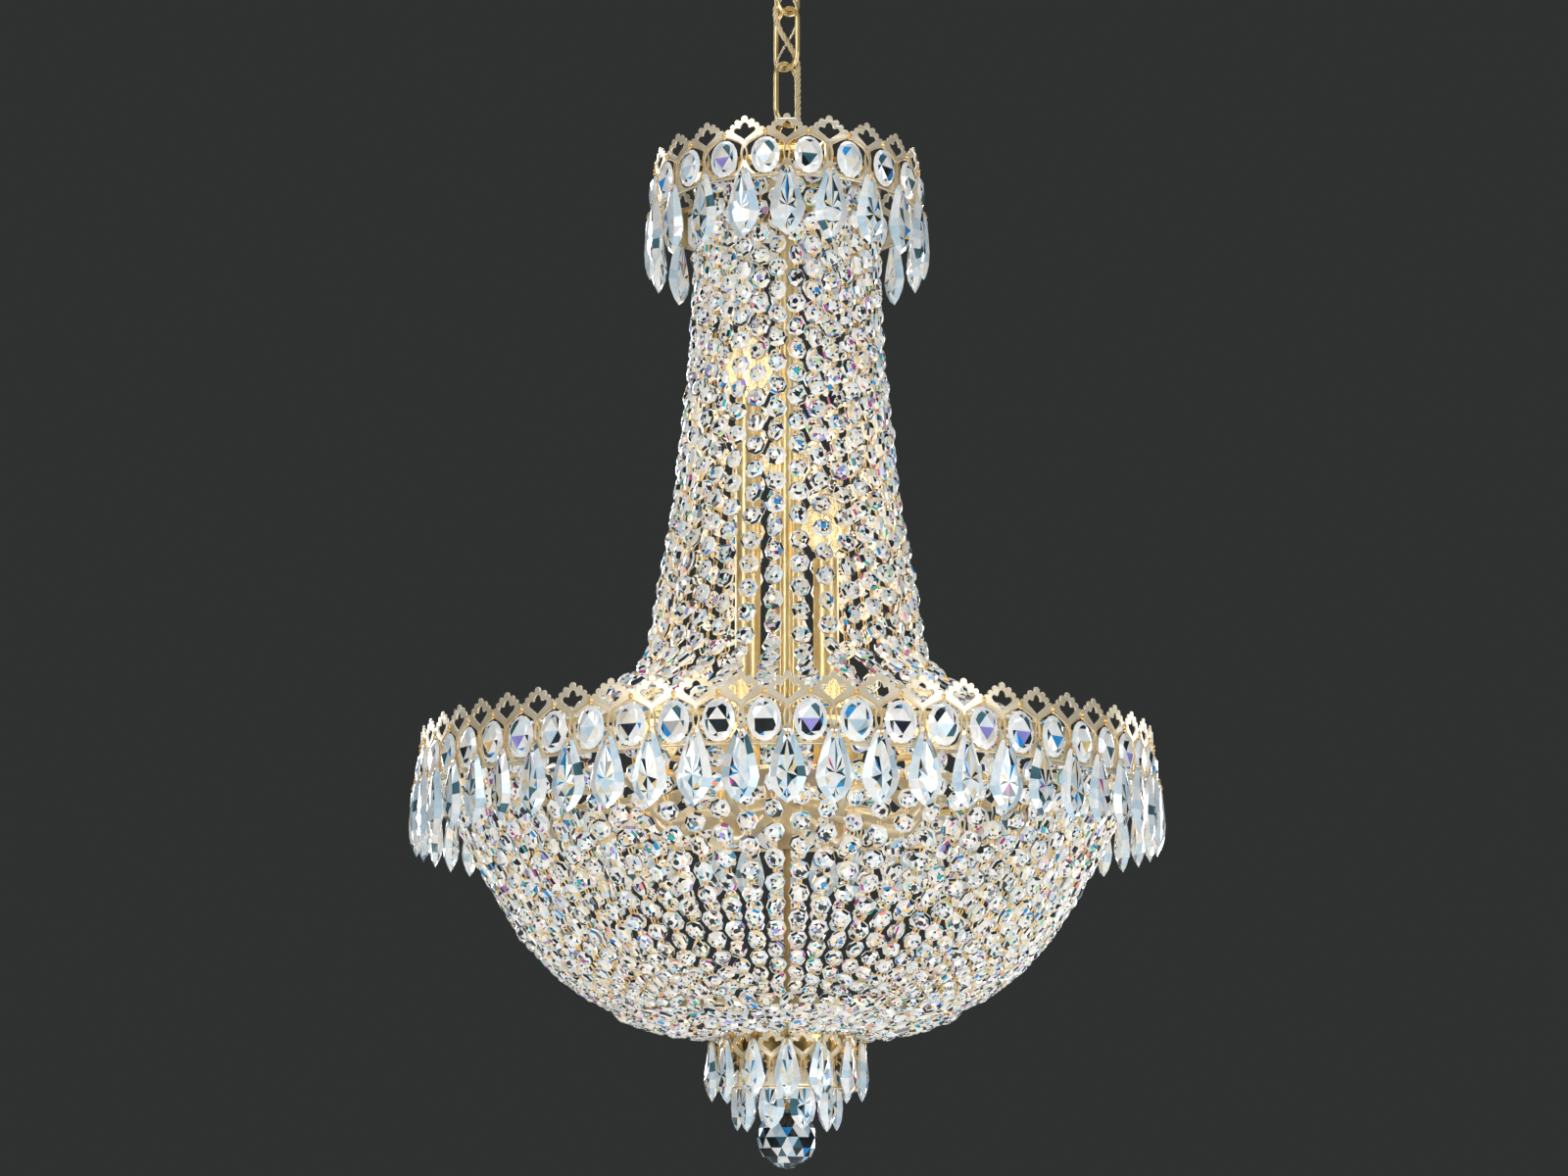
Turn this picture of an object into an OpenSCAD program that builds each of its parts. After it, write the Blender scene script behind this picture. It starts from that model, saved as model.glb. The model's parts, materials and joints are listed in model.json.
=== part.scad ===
// Crystal basket chandelier hung from a ceiling canopy on a three-link chain.
// Origin: centre of the canopy's ceiling face. +Z up, so everything hangs at negative z.

/* [Canopy and chain] */
// Diameter of the ceiling canopy
canopy_d = 127; // [110:1:140]
// Depth of the ceiling canopy
canopy_h = 30; // [28:1:30]
// Distance between the two ceiling box screws
strap_hole_pitch = 88.9; // [80:0.1:95]
// Wire diameter of the chain links and loops
link_wire = 3.5; // [3:0.1:3.8]
// Outer width of a chain link
link_w = 25; // [24:0.5:27]
// Outer length of a chain link
link_len = 50; // [48:0.5:52]

/* [Rings] */
// Radius of the upper crown, to the inside of its filigree strip
top_ring_r = 93; // [90:0.5:96]
// Number of merlons in the upper crown
top_merlons = 20; // [20:1:20]
// Radius of the wide crown, to the inside of its filigree strip
rim_ring_r = 247; // [244:0.5:250]
// Number of merlons in the wide crown
rim_merlons = 56; // [56:8:56]
// Radius of the lower crown, to the inside of its filigree strip
low_ring_r = 45; // [45:0.5:46]
// Number of merlons in the lower crown
low_merlons = 14; // [14:2:14]
// Height of the tips of the upper crown
top_tip_z = -214; // [-215:0.5:-213]
// Height of the tips of the wide crown
rim_tip_z = -631.3; // [-633:0.1:-630]
// Height of the tips of the lower crown
low_tip_z = -831; // [-831:0.5:-831]

/* [Crystals] */
// Width of the bead strands of the neck and the shoulder; those of the bottom are 1 mm narrower
strand_w = 10; // [8:0.5:10]
// Width of the bead strands of the bowl
bowl_strand_w = 8.4; // [8:0.1:8.6]
// Thickness of the bead strands
strand_t = 7; // [6:0.5:7]
// Number of strands in the neck and the shoulder
neck_strands_n = 32; // [32:1:32]
// Number of strands in the upper part of the bowl
bowl_strands_n = 80; // [80:1:80]
// Width of the faceted ovals
oval_w = 20.5; // [19:0.5:20.5]
// Length of the faceted ovals
oval_len = 28.8; // [27:0.1:28.8]
// Diameter of the faceted ball at the bottom
ball_d = 40; // [36:1:40]
// Number of long drops in the ring round the ball
lower_drops_n = 10; // [10:1:10]

/* [Lamps] */
// Number of curved arms under the wide crown
arms_n = 8; // [8:1:8]
// Radius of the circle of candle cups
arm_r = 98; // [96:1:99]
// Outer diameter of a lamp arm
arm_d = 8; // [7:0.5:9]
// Outer diameter of the tall brass candle tubes in the neck
tube_d = 17.5; // [16:0.5:18]
// Outer diameter of the centre stem
stem_d = 9.5; // [9:0.5:10]
// Diameter of the rod from the stem down to the bottom dish
rod_d = 5; // [4:0.5:6]

/* [Hidden] */
$fn = 48;

brass = "goldenrod";
champagne = "wheat";
crystal = "lightcyan";
gap = 0.3;                                  // clearance between pieces that swing on each other

// Chain: each bend's centreline hangs one wire and one gap above the bend below it
hook_step = link_wire + gap;
link_pitch = link_len - link_wire - hook_step;
loop_r = 9.25;                              // centreline radius of the canopy loop and the top loop
canopy_loop_z = -canopy_h - 19;
collar_h = 9;                               // height of the collar that the canopy loop screws up with
hinge_z1 = canopy_loop_z - loop_r;
hinge_z2 = hinge_z1 - link_pitch;
hinge_z3 = hinge_z2 - link_pitch;
hinge_z4 = hinge_z3 - link_pitch;
top_loop_z = hinge_z4 + hook_step - loop_r;
cap_top_z = top_loop_z - loop_r - 2;
cap_h = 14;

// Lamp cord and bare ground wire: radius, sway off the axis and depth of each
cord_r = 2;
cord_sway = 8;
cord_y = -0.8;
ground_r = 1;
ground_y = 2.8;
cord_sides = 8;
cord_rings = 12;

// Filigree strip: heights above its bottom rail's lower edge
strip_h = 45;
strip_t = 1.2;
rail_h = 2.4;
rail_t = 2;
joint_gap = 0.4;                            // slit between the side lobes of two merlons
arch_top = 32.6;                            // height at which two merlons meet over an arch
oval_top = 31.4;

top_rail_z = top_tip_z - strip_h;
rim_rail_z = rim_tip_z - strip_h;
low_scale = 0.85;                           // the lower crown's strip is a smaller cut of the same pattern
low_rail_z = low_tip_z - strip_h * low_scale;

// Hoops that the strands hook on
hoop_h = 4;
top_hoop_r = 65;
top_hoop_z = -236;
waist_z = -581;
rim_hoop_r = 231.5;
rim_hoop_w = 5;
rim_hoop_z = -655;
mid_hoop_r = 111;
mid_hoop_z = -816;
dish_r = low_ring_r - 0.2;
dish_top_z = low_tip_z + hoop_h;
dish_floor_z = -846;
dish_t = 1.5;
dish_lip_r = low_ring_r + 2.3;

// Outer outlines of the strands, as [radius, height]
neck_line = [[66, -236], [66.5, -300], [69.5, -367], [73.7, -407], [79.7, -466],
             [88.8, -521], [96.1, -566], [101, waist_z]];
shoulder_line = [[101, waist_z], [110.3, -590], [130, -604], [160, -621],
                 [195, -637], [229, -646]];
bowl_line = [[234.5, rim_hoop_z], [226, -685], [213, -713], [200, -735], [189, -753],
             [175, -772], [159, -790], [137, -807], [119.5, mid_hoop_z]];
bottom_line = [[110, -822], [104, -824.4], [95, -827.1], [78, -831.3], [62, -833.4], [dish_lip_r, -834]];

// Lamp arms slope down from the hub by arm_dip degrees, then bend up into the cups
hub_r = 16;
hub_h = 30;
arm_bend_r = 16;
arm_dip = 12;
arm_wall = 1.2;
wire_d = 4;
cup_z = -675;
cup_r = 17;
bend_start_r = arm_r - arm_bend_r * (1 + sin(arm_dip));
bend_start_z = cup_z - arm_bend_r * cos(arm_dip);
arm_z = bend_start_z + (bend_start_r - hub_r) * tan(arm_dip);
hub_z = arm_z - hub_h / 2;
stem_end_z = hub_z - 5;
sleeve_d = 22;
sleeve_h = 22;
sleeve_z = cup_z + 6;
bulb_d = 35;
bulb_h = 55;

// Neck tubes stand on the wide crown's spider
spider_t = 3;
spider_z = rim_hoop_z - spider_t;
neck_tube_r = 31;
neck_tube_tops = [-395, -509, -452];
neck_tube_angles = [210, 330, 90];

// Drops: width, length and thickness of each size
big_drop = [23.5, 50, 8];
rim_drop = [23, 45, 7];
low_drop = [17.5, 38, 6.6];
hang_drop = [18, 40.2, 8];
drop_hole_r = 1.2;
pin_r = 0.6;
drop_top_t = 3;                             // thickness of a drop at its pin hole
hole_below_top = 3;
top_drop_z = top_rail_z + 6.5;              // tops of the drops of each crown
rim_drop_z = rim_rail_z + 9;
low_drop_z = -837.6;
low_drop_out = 6.5;                         // from the lower strip's inside to the middle of its drops

// Lower drops and the ball hang from wire staples under the dish
staple_z = dish_floor_z - 5;
staple_r = 0.7;
staple_leg_r = 0.5;
bail_wire_r = 0.6;
bail_r = 4.2;
bail_z = staple_z + staple_r + gap + bail_wire_r - bail_r;
hang_hole_z = bail_z - bail_r;
hang_r = 33;
eye_wire_r = 1;
eye_r = 4.5;
ball_z = -900;
ball_bail_r = 6;

function at_angle(n, k, offset = 0) = (k + offset) * 360 / n;

// ---- shared shapes ----

// Puts children at radius 0 facing -Y, once for each of n angles round the axis
module around(n, offset = 0) {
  for (k = [0 : n - 1]) rotate([0, 0, at_angle(n, k, offset)]) children();
}

// A ring of rectangular section between two radii
module flat_ring(r_in, r_out, z, h) {
  translate([0, 0, z]) rotate_extrude($fn = 128) translate([r_in, 0]) square([r_out - r_in, h]);
}

// A straight round wire from z down to z - h
module post(r, z_low, h) {
  translate([0, 0, z_low]) cylinder(r = r, h = h);
}

// Outline in the radius-height plane, turned to stand across the radius at +X
module radial_slab(w) {
  rotate([90, 0, 0]) translate([0, 0, -w / 2]) linear_extrude(w) children();
}

// Round wire loop in the X-Z plane
module wire_loop(r, wire_r) {
  rotate([90, 0, 0]) rotate_extrude() translate([r, 0]) circle(r = wire_r, $fn = 24);
}

// Chain link in the X-Z plane: two half rings and two straight wires
module link() {
  r = link_w / 2 - link_wire / 2;
  straight = link_len - link_w;
  for (s = [-1, 1]) {
    translate([0, 0, s * straight / 2]) rotate([90, 0, 0]) rotate([0, 0, s > 0 ? 0 : 180])
      rotate_extrude(angle = 180) translate([r, 0]) circle(d = link_wire, $fn = 24);
    translate([s * r, 0, -straight / 2]) cylinder(d = link_wire, h = straight, $fn = 24);
  }
}

// One strand as a ribbon: the outline's points and the same points moved inward by t
function inward(line, t) = [for (i = [len(line) - 1 : -1 : 0])
  let (a = line[max(i - 1, 0)], b = line[min(i + 1, len(line) - 1)], d = (b - a) / norm(b - a))
  line[i] + t * [d[1], -d[0]]];
module ribbon(line, w, t, top, bottom) {
  intersection() {
    radial_slab(w) polygon(concat(line, inward(line, t)));
    radial_slab(w + 2) polygon(top == undef ? [[0, bottom], [400, bottom], [400, 0], [0, 0]]
      : [[0, bottom], [400, bottom], [400, top], [0, top]]);
  }
}

// Merlon of the filigree strip, drawn from the bottom rail up, one pitch wide
module merlon_2d(pitch) {
  half = pitch / 2 - joint_gap / 2;
  difference() {
    union() {
      polygon([[0, 27], [half, arch_top], [half, 35], [10.4, 37.6], [0, 43],
               [-10.4, 37.6], [-half, 35], [-half, arch_top]]);
      translate([0, 42]) circle(r = 3);
      for (s = [-1, 1]) {
        translate([s * 5.4, 39.4]) circle(r = 2.6);
        translate([s * min(9.6, half - 2.8), 36.6]) circle(r = 2.6);
      }
      polygon([[-2.6, 29], [-2.8, 22], [-1.7, 15], [-3.6, 9], [-10, rail_h - 0.4],
               [10, rail_h - 0.4], [3.6, 9], [1.7, 15], [2.8, 22], [2.6, 29]]);
    }
    polygon([[0, 30.4], [6.8, 34.4], [5, 37.2], [2.5, 35.4], [0, 39.4],
             [-2.5, 35.4], [-5, 37.2], [-6.8, 34.4]]);
    polygon([[0, 18.4], [1.1, 22], [0, 25.8], [-1.1, 22]]);
  }
}

// A crown of merlons standing on one round rail
module gallery(n, r, z, size = 1) {
  pitch = 2 * r * tan(180 / n);
  union() {
    flat_ring(r - 0.1, r + rail_t, z, rail_h * size);
    around(n) translate([r, 0, z]) rotate([90, 0, 90]) linear_extrude(strip_t)
      scale([size, size]) merlon_2d(pitch / size);
  }
}

// Almond drop: front outline and side outline crossed, with its pin hole; top at z = 0, at +X radius r
module drop(size, r, hole = true) {
  w = size[0];
  l = size[1];
  t = size[2];
  difference() {
    intersection() {
      translate([r - t, 0, 0]) rotate([90, 0, 90]) linear_extrude(2 * t)
        polygon([[-2.4, 0], [2.4, 0], [4.2, -3], [w * 0.42, -l * 0.46], [w / 2, -l * 0.64],
                 [w * 0.4, -l * 0.8], [0, -l], [-w * 0.4, -l * 0.8], [-w / 2, -l * 0.64],
                 [-w * 0.42, -l * 0.46], [-4.2, -3]]);
      translate([r, 0, 0]) radial_slab(w + 2)
        polygon([[-drop_top_t / 2, 0], [drop_top_t / 2, 0], [drop_top_t / 2, -5], [t / 2, -l * 0.6],
                 [t * 0.4, -l * 0.82], [0.8, -l], [-0.8, -l], [-t * 0.4, -l * 0.82],
                 [-t / 2, -l * 0.6], [-drop_top_t / 2, -5]]);
    }
    if (hole) translate([r - t, 0, -hole_below_top]) rotate([0, 90, 0])
      cylinder(r = drop_hole_r, h = 2 * t, $fn = 24);
  }
}

// Faceted oval, top at z = 0, at +X radius r
module oval(r) {
  t = 6.4;
  intersection() {
    translate([r - t, 0, 0]) rotate([90, 0, 90]) linear_extrude(2 * t)
      polygon([for (a = [15 : 30 : 345]) [oval_w / 2 / cos(15) * cos(a),
               -oval_len / 2 + oval_len / 2 * sin(a) / sin(75)]]);
    translate([r, 0, 0]) radial_slab(oval_w + 4)
      polygon([[-1, 0], [1, 0], [t / 2, -oval_len * 0.28], [t / 2, -oval_len * 0.72],
               [1, -oval_len], [-1, -oval_len], [-t / 2, -oval_len * 0.72], [-t / 2, -oval_len * 0.28]]);
  }
}

// Lamp-arm path swept with a round section of diameter d, from radius r_from; bore 0 leaves it solid
module arm_section(d, bore) {
  difference() {
    circle(d = d, $fn = 32);
    if (bore > 0) circle(d = bore, $fn = 32);
  }
}
module arm_straight(d, bore, r_from, r_to) {
  start = (bend_start_r - r_from) / cos(arm_dip);
  translate([bend_start_r, 0, bend_start_z]) rotate([0, 90 + arm_dip, 0])
    translate([0, 0, -start]) linear_extrude((r_to - r_from) / cos(arm_dip)) arm_section(d, bore);
}
module arm_sweep(d, bore, r_from) {
  arm_straight(d, bore, r_from, bend_start_r);
  translate([arm_r - arm_bend_r, 0, cup_z]) rotate([90, 0, 0]) rotate([0, 0, -90 - arm_dip])
    rotate_extrude(angle = 90 + arm_dip) translate([arm_bend_r, 0]) arm_section(d, bore);
}

// Candelabra bulb standing on z = 0
module bulb() {
  rotate_extrude() polygon([[0, 0], [6, 0], [6.5, 8], [12, 15], [bulb_d / 2, 24], [bulb_d / 2 - 1, 32],
                            [10, 42], [4, 50], [0, bulb_h]]);
}

// ---- ceiling end ----

module ceiling_canopy() {
  color(brass) difference() {
    rotate_extrude($fn = 128) polygon([
      [canopy_d / 2, 0], [canopy_d / 2, -4], [canopy_d / 2 - 6, -9], [40, -17], [24, -23],
      [15, -canopy_h], [5.2, -canopy_h], [5.2, -canopy_h + 1.5], [14, -canopy_h + 1.5], [23, -21.5],
      [39, -15.5], [canopy_d / 2 - 8, -7.5], [canopy_d / 2 - 1.5, -4], [canopy_d / 2 - 1.5, 0]]);
    translate([cord_sway, cord_y, -canopy_h - 1]) cylinder(r = cord_r - 0.3, h = 4);
  }
}

module mounting_strap() {
  color("silver") difference() {
    translate([-52, -9, -2]) cube([104, 18, 2]);
    for (s = [-1, 1]) translate([s * strap_hole_pitch / 2, 0, -3]) cylinder(r = 2.4, h = 4);
    translate([0, 0, -3]) cylinder(r = 5.2, h = 4);
  }
}

module canopy_nipple() {
  color(brass) difference() {
    union() {
      post(5, -canopy_h - 5, canopy_h + 5);
      translate([0, 0, -6]) cylinder(r = 9, h = 4, $fn = 6);
    }
    translate([0, 0, -canopy_h - 6]) cylinder(r = 3.4, h = canopy_h + 8);
  }
}

module canopy_loop() {
  color(brass) difference() {
    union() {
      translate([0, 0, -canopy_h - collar_h]) cylinder(r1 = 12, r2 = 13.5, h = collar_h);
      rotate([0, 0, -45]) translate([0, 0, canopy_loop_z]) wire_loop(loop_r, link_wire / 2);
    }
    translate([0, 0, -canopy_h - 5]) cylinder(r = 5, h = 6);
    translate([cord_sway, cord_y, -canopy_h - collar_h - 1]) cylinder(r = cord_r - 0.3, h = collar_h + 2);
  }
}

module chain_link_1() {
  color(brass) translate([0, 0, hinge_z1 + hook_step + link_wire / 2 - link_len / 2]) rotate([0, 0, 45]) link();
}
module chain_link_2() {
  color(brass) translate([0, 0, hinge_z2 + hook_step + link_wire / 2 - link_len / 2]) rotate([0, 0, -45]) link();
}
module chain_link_3() {
  color(brass) translate([0, 0, hinge_z3 + hook_step + link_wire / 2 - link_len / 2]) rotate([0, 0, 45]) link();
}

// ---- the lamp cord and the bare ground wire, woven through the chain ----

// Both swap sides inside the first two links, then run straight down into the cap
function weave(z) = cos(180 * max(0, min(2, (hinge_z1 - z) / link_pitch)));

// Round cord between two heights on one side of the weave, standing at y in depth
module cord_piece(r, sway, y, z_from, z_to) {
  pts = [for (i = [0 : cord_rings]) let (z = z_from + (z_to - z_from) * i / cord_rings) [sway * weave(z), y, z]];
  rings = [for (p = pts, k = [0 : cord_sides - 1])
    p + r * [cos(k * 360 / cord_sides), sin(k * 360 / cord_sides), 0]];
  side = [for (i = [0 : cord_rings - 1], k = [0 : cord_sides - 1]) let (n = (k + 1) % cord_sides)
    [i * cord_sides + k, i * cord_sides + n, (i + 1) * cord_sides + n, (i + 1) * cord_sides + k]];
  ends = [[for (k = [cord_sides - 1 : -1 : 0]) k],
          [for (k = [0 : cord_sides - 1]) cord_rings * cord_sides + k]];
  polyhedron(rings, concat(side, ends), convexity = 4);
}
module cord_pair(z_from, z_to) {
  color("gold") cord_piece(cord_r, cord_sway, cord_y, z_from, z_to);
  color("silver") cord_piece(ground_r, -cord_sway, ground_y, z_from, z_to);
}
module lamp_cord_1() cord_pair(-canopy_h - collar_h, (hinge_z1 + hinge_z2) / 2);
module lamp_cord_2() cord_pair((hinge_z1 + hinge_z2) / 2, (hinge_z2 + hinge_z3) / 2);
module lamp_cord_3() cord_pair((hinge_z2 + hinge_z3) / 2, (hinge_z3 + hinge_z4) / 2);
module lamp_cord_4() cord_pair((hinge_z3 + hinge_z4) / 2, cap_top_z);

// ---- head of the fixture ----

module top_loop() {
  color(brass) {
    rotate([0, 0, -45]) translate([0, 0, top_loop_z]) wire_loop(loop_r, link_wire / 2);
    post(3.2, cap_top_z - 8, 9);
  }
}

module top_cap() {
  color(brass) difference() {
    rotate_extrude() polygon([[3.2, cap_top_z], [13, cap_top_z], [20, cap_top_z - 4], [24, cap_top_z - 11],
      [24, cap_top_z - cap_h], [stem_d / 2, cap_top_z - cap_h], [stem_d / 2, cap_top_z - 8], [3.2, cap_top_z - 8]]);
    translate([cord_sway, cord_y, cap_top_z - cap_h - 1]) cylinder(r = cord_r - 0.3, h = cap_h + 2);
    translate([-cord_sway, ground_y, cap_top_z - cap_h - 1]) cylinder(r = ground_r - 0.3, h = cap_h + 2);
  }
}

module centre_stem() {
  h = cap_top_z - 8 - stem_end_z;
  color(brass) difference() {
    post(stem_d / 2, stem_end_z, h);
    translate([0, 0, stem_end_z - 1]) cylinder(r = stem_d / 2 - 1.2, h = h + 2);
  }
}

// Rod from the stem to the bottom dish: its plug fills the stem's end, and the eye bolt screws into its foot
module bowl_rod() {
  low = dish_floor_z + dish_t;
  color(brass) difference() {
    union() {
      post(rod_d / 2, low + 10, stem_end_z - low - 14);
      post(stem_d / 2 - 1.2, stem_end_z - 2, 10);
      translate([0, 0, stem_end_z - 10]) cylinder(r = 6.5, h = 10, $fn = 6);
      translate([0, 0, low]) cylinder(r = 6.5, h = 14, $fn = 6);
    }
    translate([0, 0, low - 1]) cylinder(r = 3.2, h = 7);
  }
}

top_arms_n = 5;
module top_spider() {
  t = 2;
  z = top_hoop_z + hoop_h;
  r_out = top_ring_r - 0.1;
  color(brass) union() {
    difference() {
      post(14, z, 6);
      translate([0, 0, z - 1]) cylinder(r = stem_d / 2, h = 8);
    }
    around(top_arms_n) radial_slab(5) polygon([[12, z], [12, z + t], [r_out, z + t],
      [r_out, top_rail_z], [r_out - t, top_rail_z], [r_out - t, z]]);
  }
}

module top_hoop() {
  color(brass) flat_ring(top_hoop_r - 7, top_hoop_r + 2, top_hoop_z, hoop_h);
}

module top_gallery() {
  color(champagne) gallery(top_merlons, top_ring_r, top_rail_z);
}

module top_ovals() {
  color(crystal) around(top_merlons, 0.5) translate([0, 0, top_rail_z + oval_top]) oval(top_ring_r + 1.6);
}

module top_drops() {
  color(crystal) around(top_merlons) translate([0, 0, top_drop_z]) drop(big_drop, top_ring_r + 3.8);
}

// ---- strands, from the upper hoop to the bottom dish ----

module neck_strands() {
  color(crystal) around(neck_strands_n, 0.5)
    ribbon(neck_line, strand_w, strand_t, top_hoop_z, waist_z);
}

module shoulder_strands() {
  color(crystal) around(neck_strands_n, 0.5) intersection() {
    ribbon(shoulder_line, strand_w, strand_t, waist_z, rim_hoop_z);
    translate([0, -20, rim_hoop_z]) cube([rim_hoop_r - rim_hoop_w / 2, 40, 100]);
  }
}

module bowl_strands() {
  color(crystal) around(bowl_strands_n, 0.5)
    ribbon(bowl_line, bowl_strand_w, strand_t, rim_hoop_z, mid_hoop_z);
}

module bottom_strands() {
  t = 5;
  color(crystal) around(neck_strands_n, 0.5) intersection() {
    ribbon(bottom_line, strand_w - 1, t, mid_hoop_z, -840);
    translate([dish_lip_r, -20, -840]) cube([mid_hoop_r - 2.5 - dish_lip_r, 40, 30]);
  }
}

module middle_hoop() {
  color(brass) flat_ring(mid_hoop_r - 2.5, mid_hoop_r + 2.5, mid_hoop_z - hoop_h, hoop_h);
}

// ---- wide crown ----

rim_arms_n = 8;
module rim_spider() {
  r_out = rim_ring_r - 0.1;
  color(brass) difference() {
    union() {
      post(42, spider_z, spider_t);
      around(rim_arms_n) radial_slab(6) polygon([[38, spider_z], [38, rim_hoop_z], [238, rim_hoop_z],
        [240, rim_rail_z + 2], [r_out, rim_rail_z + 2], [r_out, rim_rail_z], [237, rim_rail_z],
        [235.5, spider_z]]);
    }
    translate([0, 0, spider_z - 1]) cylinder(r = stem_d / 2, h = spider_t + 2);
  }
}

module rim_hoop() {
  color(brass) flat_ring(rim_hoop_r - rim_hoop_w / 2, rim_hoop_r + rim_hoop_w / 2 + 1, rim_hoop_z, hoop_h);
}

module rim_gallery() {
  color(champagne) gallery(rim_merlons, rim_ring_r, rim_rail_z);
}

module rim_ovals() {
  color(crystal) around(rim_merlons, 0.5) translate([0, 0, rim_rail_z + oval_top]) oval(rim_ring_r + 1);
}

module rim_drops() {
  color(crystal) around(rim_merlons) translate([0, 0, rim_drop_z]) drop(rim_drop, rim_ring_r + 4);
}

// ---- bottom ----

module bottom_dish() {
  color(brass) rotate_extrude($fn = 96) polygon([
    [3.2, dish_floor_z], [dish_r, dish_floor_z], [dish_r, dish_top_z - hoop_h],
    [dish_lip_r, dish_top_z - hoop_h], [dish_lip_r, dish_top_z], [dish_r - dish_t, dish_top_z],
    [dish_r - dish_t, dish_floor_z + dish_t], [3.2, dish_floor_z + dish_t]]);
}

module bottom_gallery() {
  color(champagne) gallery(low_merlons, low_ring_r, low_rail_z, low_scale);
}

module bottom_drops() {
  color(crystal) around(low_merlons, 0.5) translate([0, 0, low_drop_z]) drop(low_drop, low_ring_r + low_drop_out);
}

// Pins that carry the drops of the three crowns; each stands on its crown's outer face
module drop_pin(r, z, l) {
  translate([r, 0, z - hole_below_top]) rotate([0, 90, 0]) cylinder(r = pin_r, h = l, $fn = 24);
}
module drop_pins() {
  low_corner_r = (low_ring_r + strip_t) / cos(180 / low_merlons);
  color(brass) {
    around(top_merlons) drop_pin(top_ring_r + strip_t, top_drop_z, 4.5);
    around(rim_merlons) drop_pin(rim_ring_r + strip_t, rim_drop_z, 4.5);
    around(low_merlons, 0.5) drop_pin(low_corner_r, low_drop_z, low_ring_r + low_drop_out + 2.3 - low_corner_r);
  }
}

// Wire staples under the dish: two legs and a crossbar that a bail swings on
module drop_staples() {
  leg_gap = 3;
  color(brass) around(lower_drops_n) translate([hang_r, 0, 0]) union() {
    for (s = [-1, 1]) translate([0, s * leg_gap, staple_z])
      cylinder(r = staple_leg_r, h = dish_floor_z - staple_z, $fn = 24);
    translate([0, -leg_gap - staple_r, staple_z]) rotate([-90, 0, 0])
      cylinder(r = staple_r, h = 2 * (leg_gap + staple_r), $fn = 24);
  }
}

// Long drop on its wire bail, k-th of the ring round the ball
module lower_drop(k) {
  rotate([0, 0, at_angle(lower_drops_n, k)]) {
    color(brass) translate([hang_r, 0, bail_z]) wire_loop(bail_r, bail_wire_r);
    color(crystal) translate([0, 0, hang_hole_z + hole_below_top]) drop(hang_drop, hang_r);
  }
}
module lower_drop_1() lower_drop(0);
module lower_drop_2() lower_drop(1);
module lower_drop_3() lower_drop(2);
module lower_drop_4() lower_drop(3);
module lower_drop_5() lower_drop(4);
module lower_drop_6() lower_drop(5);
module lower_drop_7() lower_drop(6);
module lower_drop_8() lower_drop(7);
module lower_drop_9() lower_drop(8);
module lower_drop_10() lower_drop(9);

// Eye bolt through the dish that also clamps the stem
eye_z = dish_floor_z - 13;
module ball_eye() {
  color(brass) union() {
    post(3.2, dish_floor_z - 8, dish_t + 14);
    translate([0, 0, dish_floor_z - 5]) cylinder(r = 7, h = 5, $fn = 6);
    rotate([0, 0, 90]) translate([0, 0, eye_z]) wire_loop(eye_r, eye_wire_r);
  }
}

// Faceted ball with a pointed bottom, its cap and its bail
ball_bail_z = eye_z - eye_r + eye_wire_r + gap + 0.8 - ball_bail_r;
module crystal_ball() {
  r = ball_d / 2;
  rows = [[0.99, 0.12], [0.94, 0.35], [0.78, 0.62], [0.5, 0.86], [0.2, 0.98]];
  color(crystal) translate([0, 0, ball_z]) rotate_extrude()
    polygon(concat([[0, r]], [for (i = [len(rows) - 1 : -1 : 0]) [r * rows[i][0], r * rows[i][1]]],
      [[r, 0]], [for (p = rows) [r * p[0], -r * p[1] * 0.95]], [[0, -r]]));
  color(brass) {
    translate([0, 0, ball_z + r - 0.6]) cylinder(r = 3.5, h = 2.2);
    post(1.2, ball_z + r, ball_bail_z - ball_bail_r - ball_z - r);
    translate([0, 0, ball_bail_z]) wire_loop(ball_bail_r, 0.8);
  }
}

// ---- lamps ----

module arm_hub() {
  color(brass) difference() {
    union() {
      post(hub_r, hub_z, hub_h);
      translate([0, 0, hub_z - 5]) cylinder(r = 10, h = 5);
    }
    translate([0, 0, hub_z - 6]) cylinder(r = stem_d / 2, h = hub_h + 8);
    flat_ring(stem_d / 2 + 2, hub_r - 2, hub_z + 3, hub_h - 6);
    around(arms_n, 0.5) arm_straight(arm_d, 0, hub_r - 4, hub_r + 4);
  }
}

module lamp_arms() {
  color(brass) around(arms_n, 0.5) arm_sweep(arm_d, arm_d - 2 * arm_wall, hub_r - 1.4);
}

module arm_wires() {
  color("dimgray") around(arms_n, 0.5) arm_sweep(wire_d, 0, hub_r - 4);
}

module candle_cups() {
  color(brass) around(arms_n, 0.5) translate([arm_r, 0, 0]) rotate_extrude() polygon([
    [2, cup_z], [6, cup_z], [12, cup_z + 2], [cup_r, cup_z + 6], [cup_r + 3, cup_z + 10],
    [cup_r + 1, cup_z + 10], [cup_r - 2, cup_z + 7.5], [sleeve_d / 2, sleeve_z], [2, sleeve_z]]);
}

module candle_sleeves() {
  color("ivory") around(arms_n, 0.5) translate([arm_r, 0, 0]) difference() {
    post(sleeve_d / 2, sleeve_z, sleeve_h);
    translate([0, 0, sleeve_z - 1]) cylinder(r = sleeve_d / 2 - 1.5, h = sleeve_h + 2);
  }
}

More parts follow.
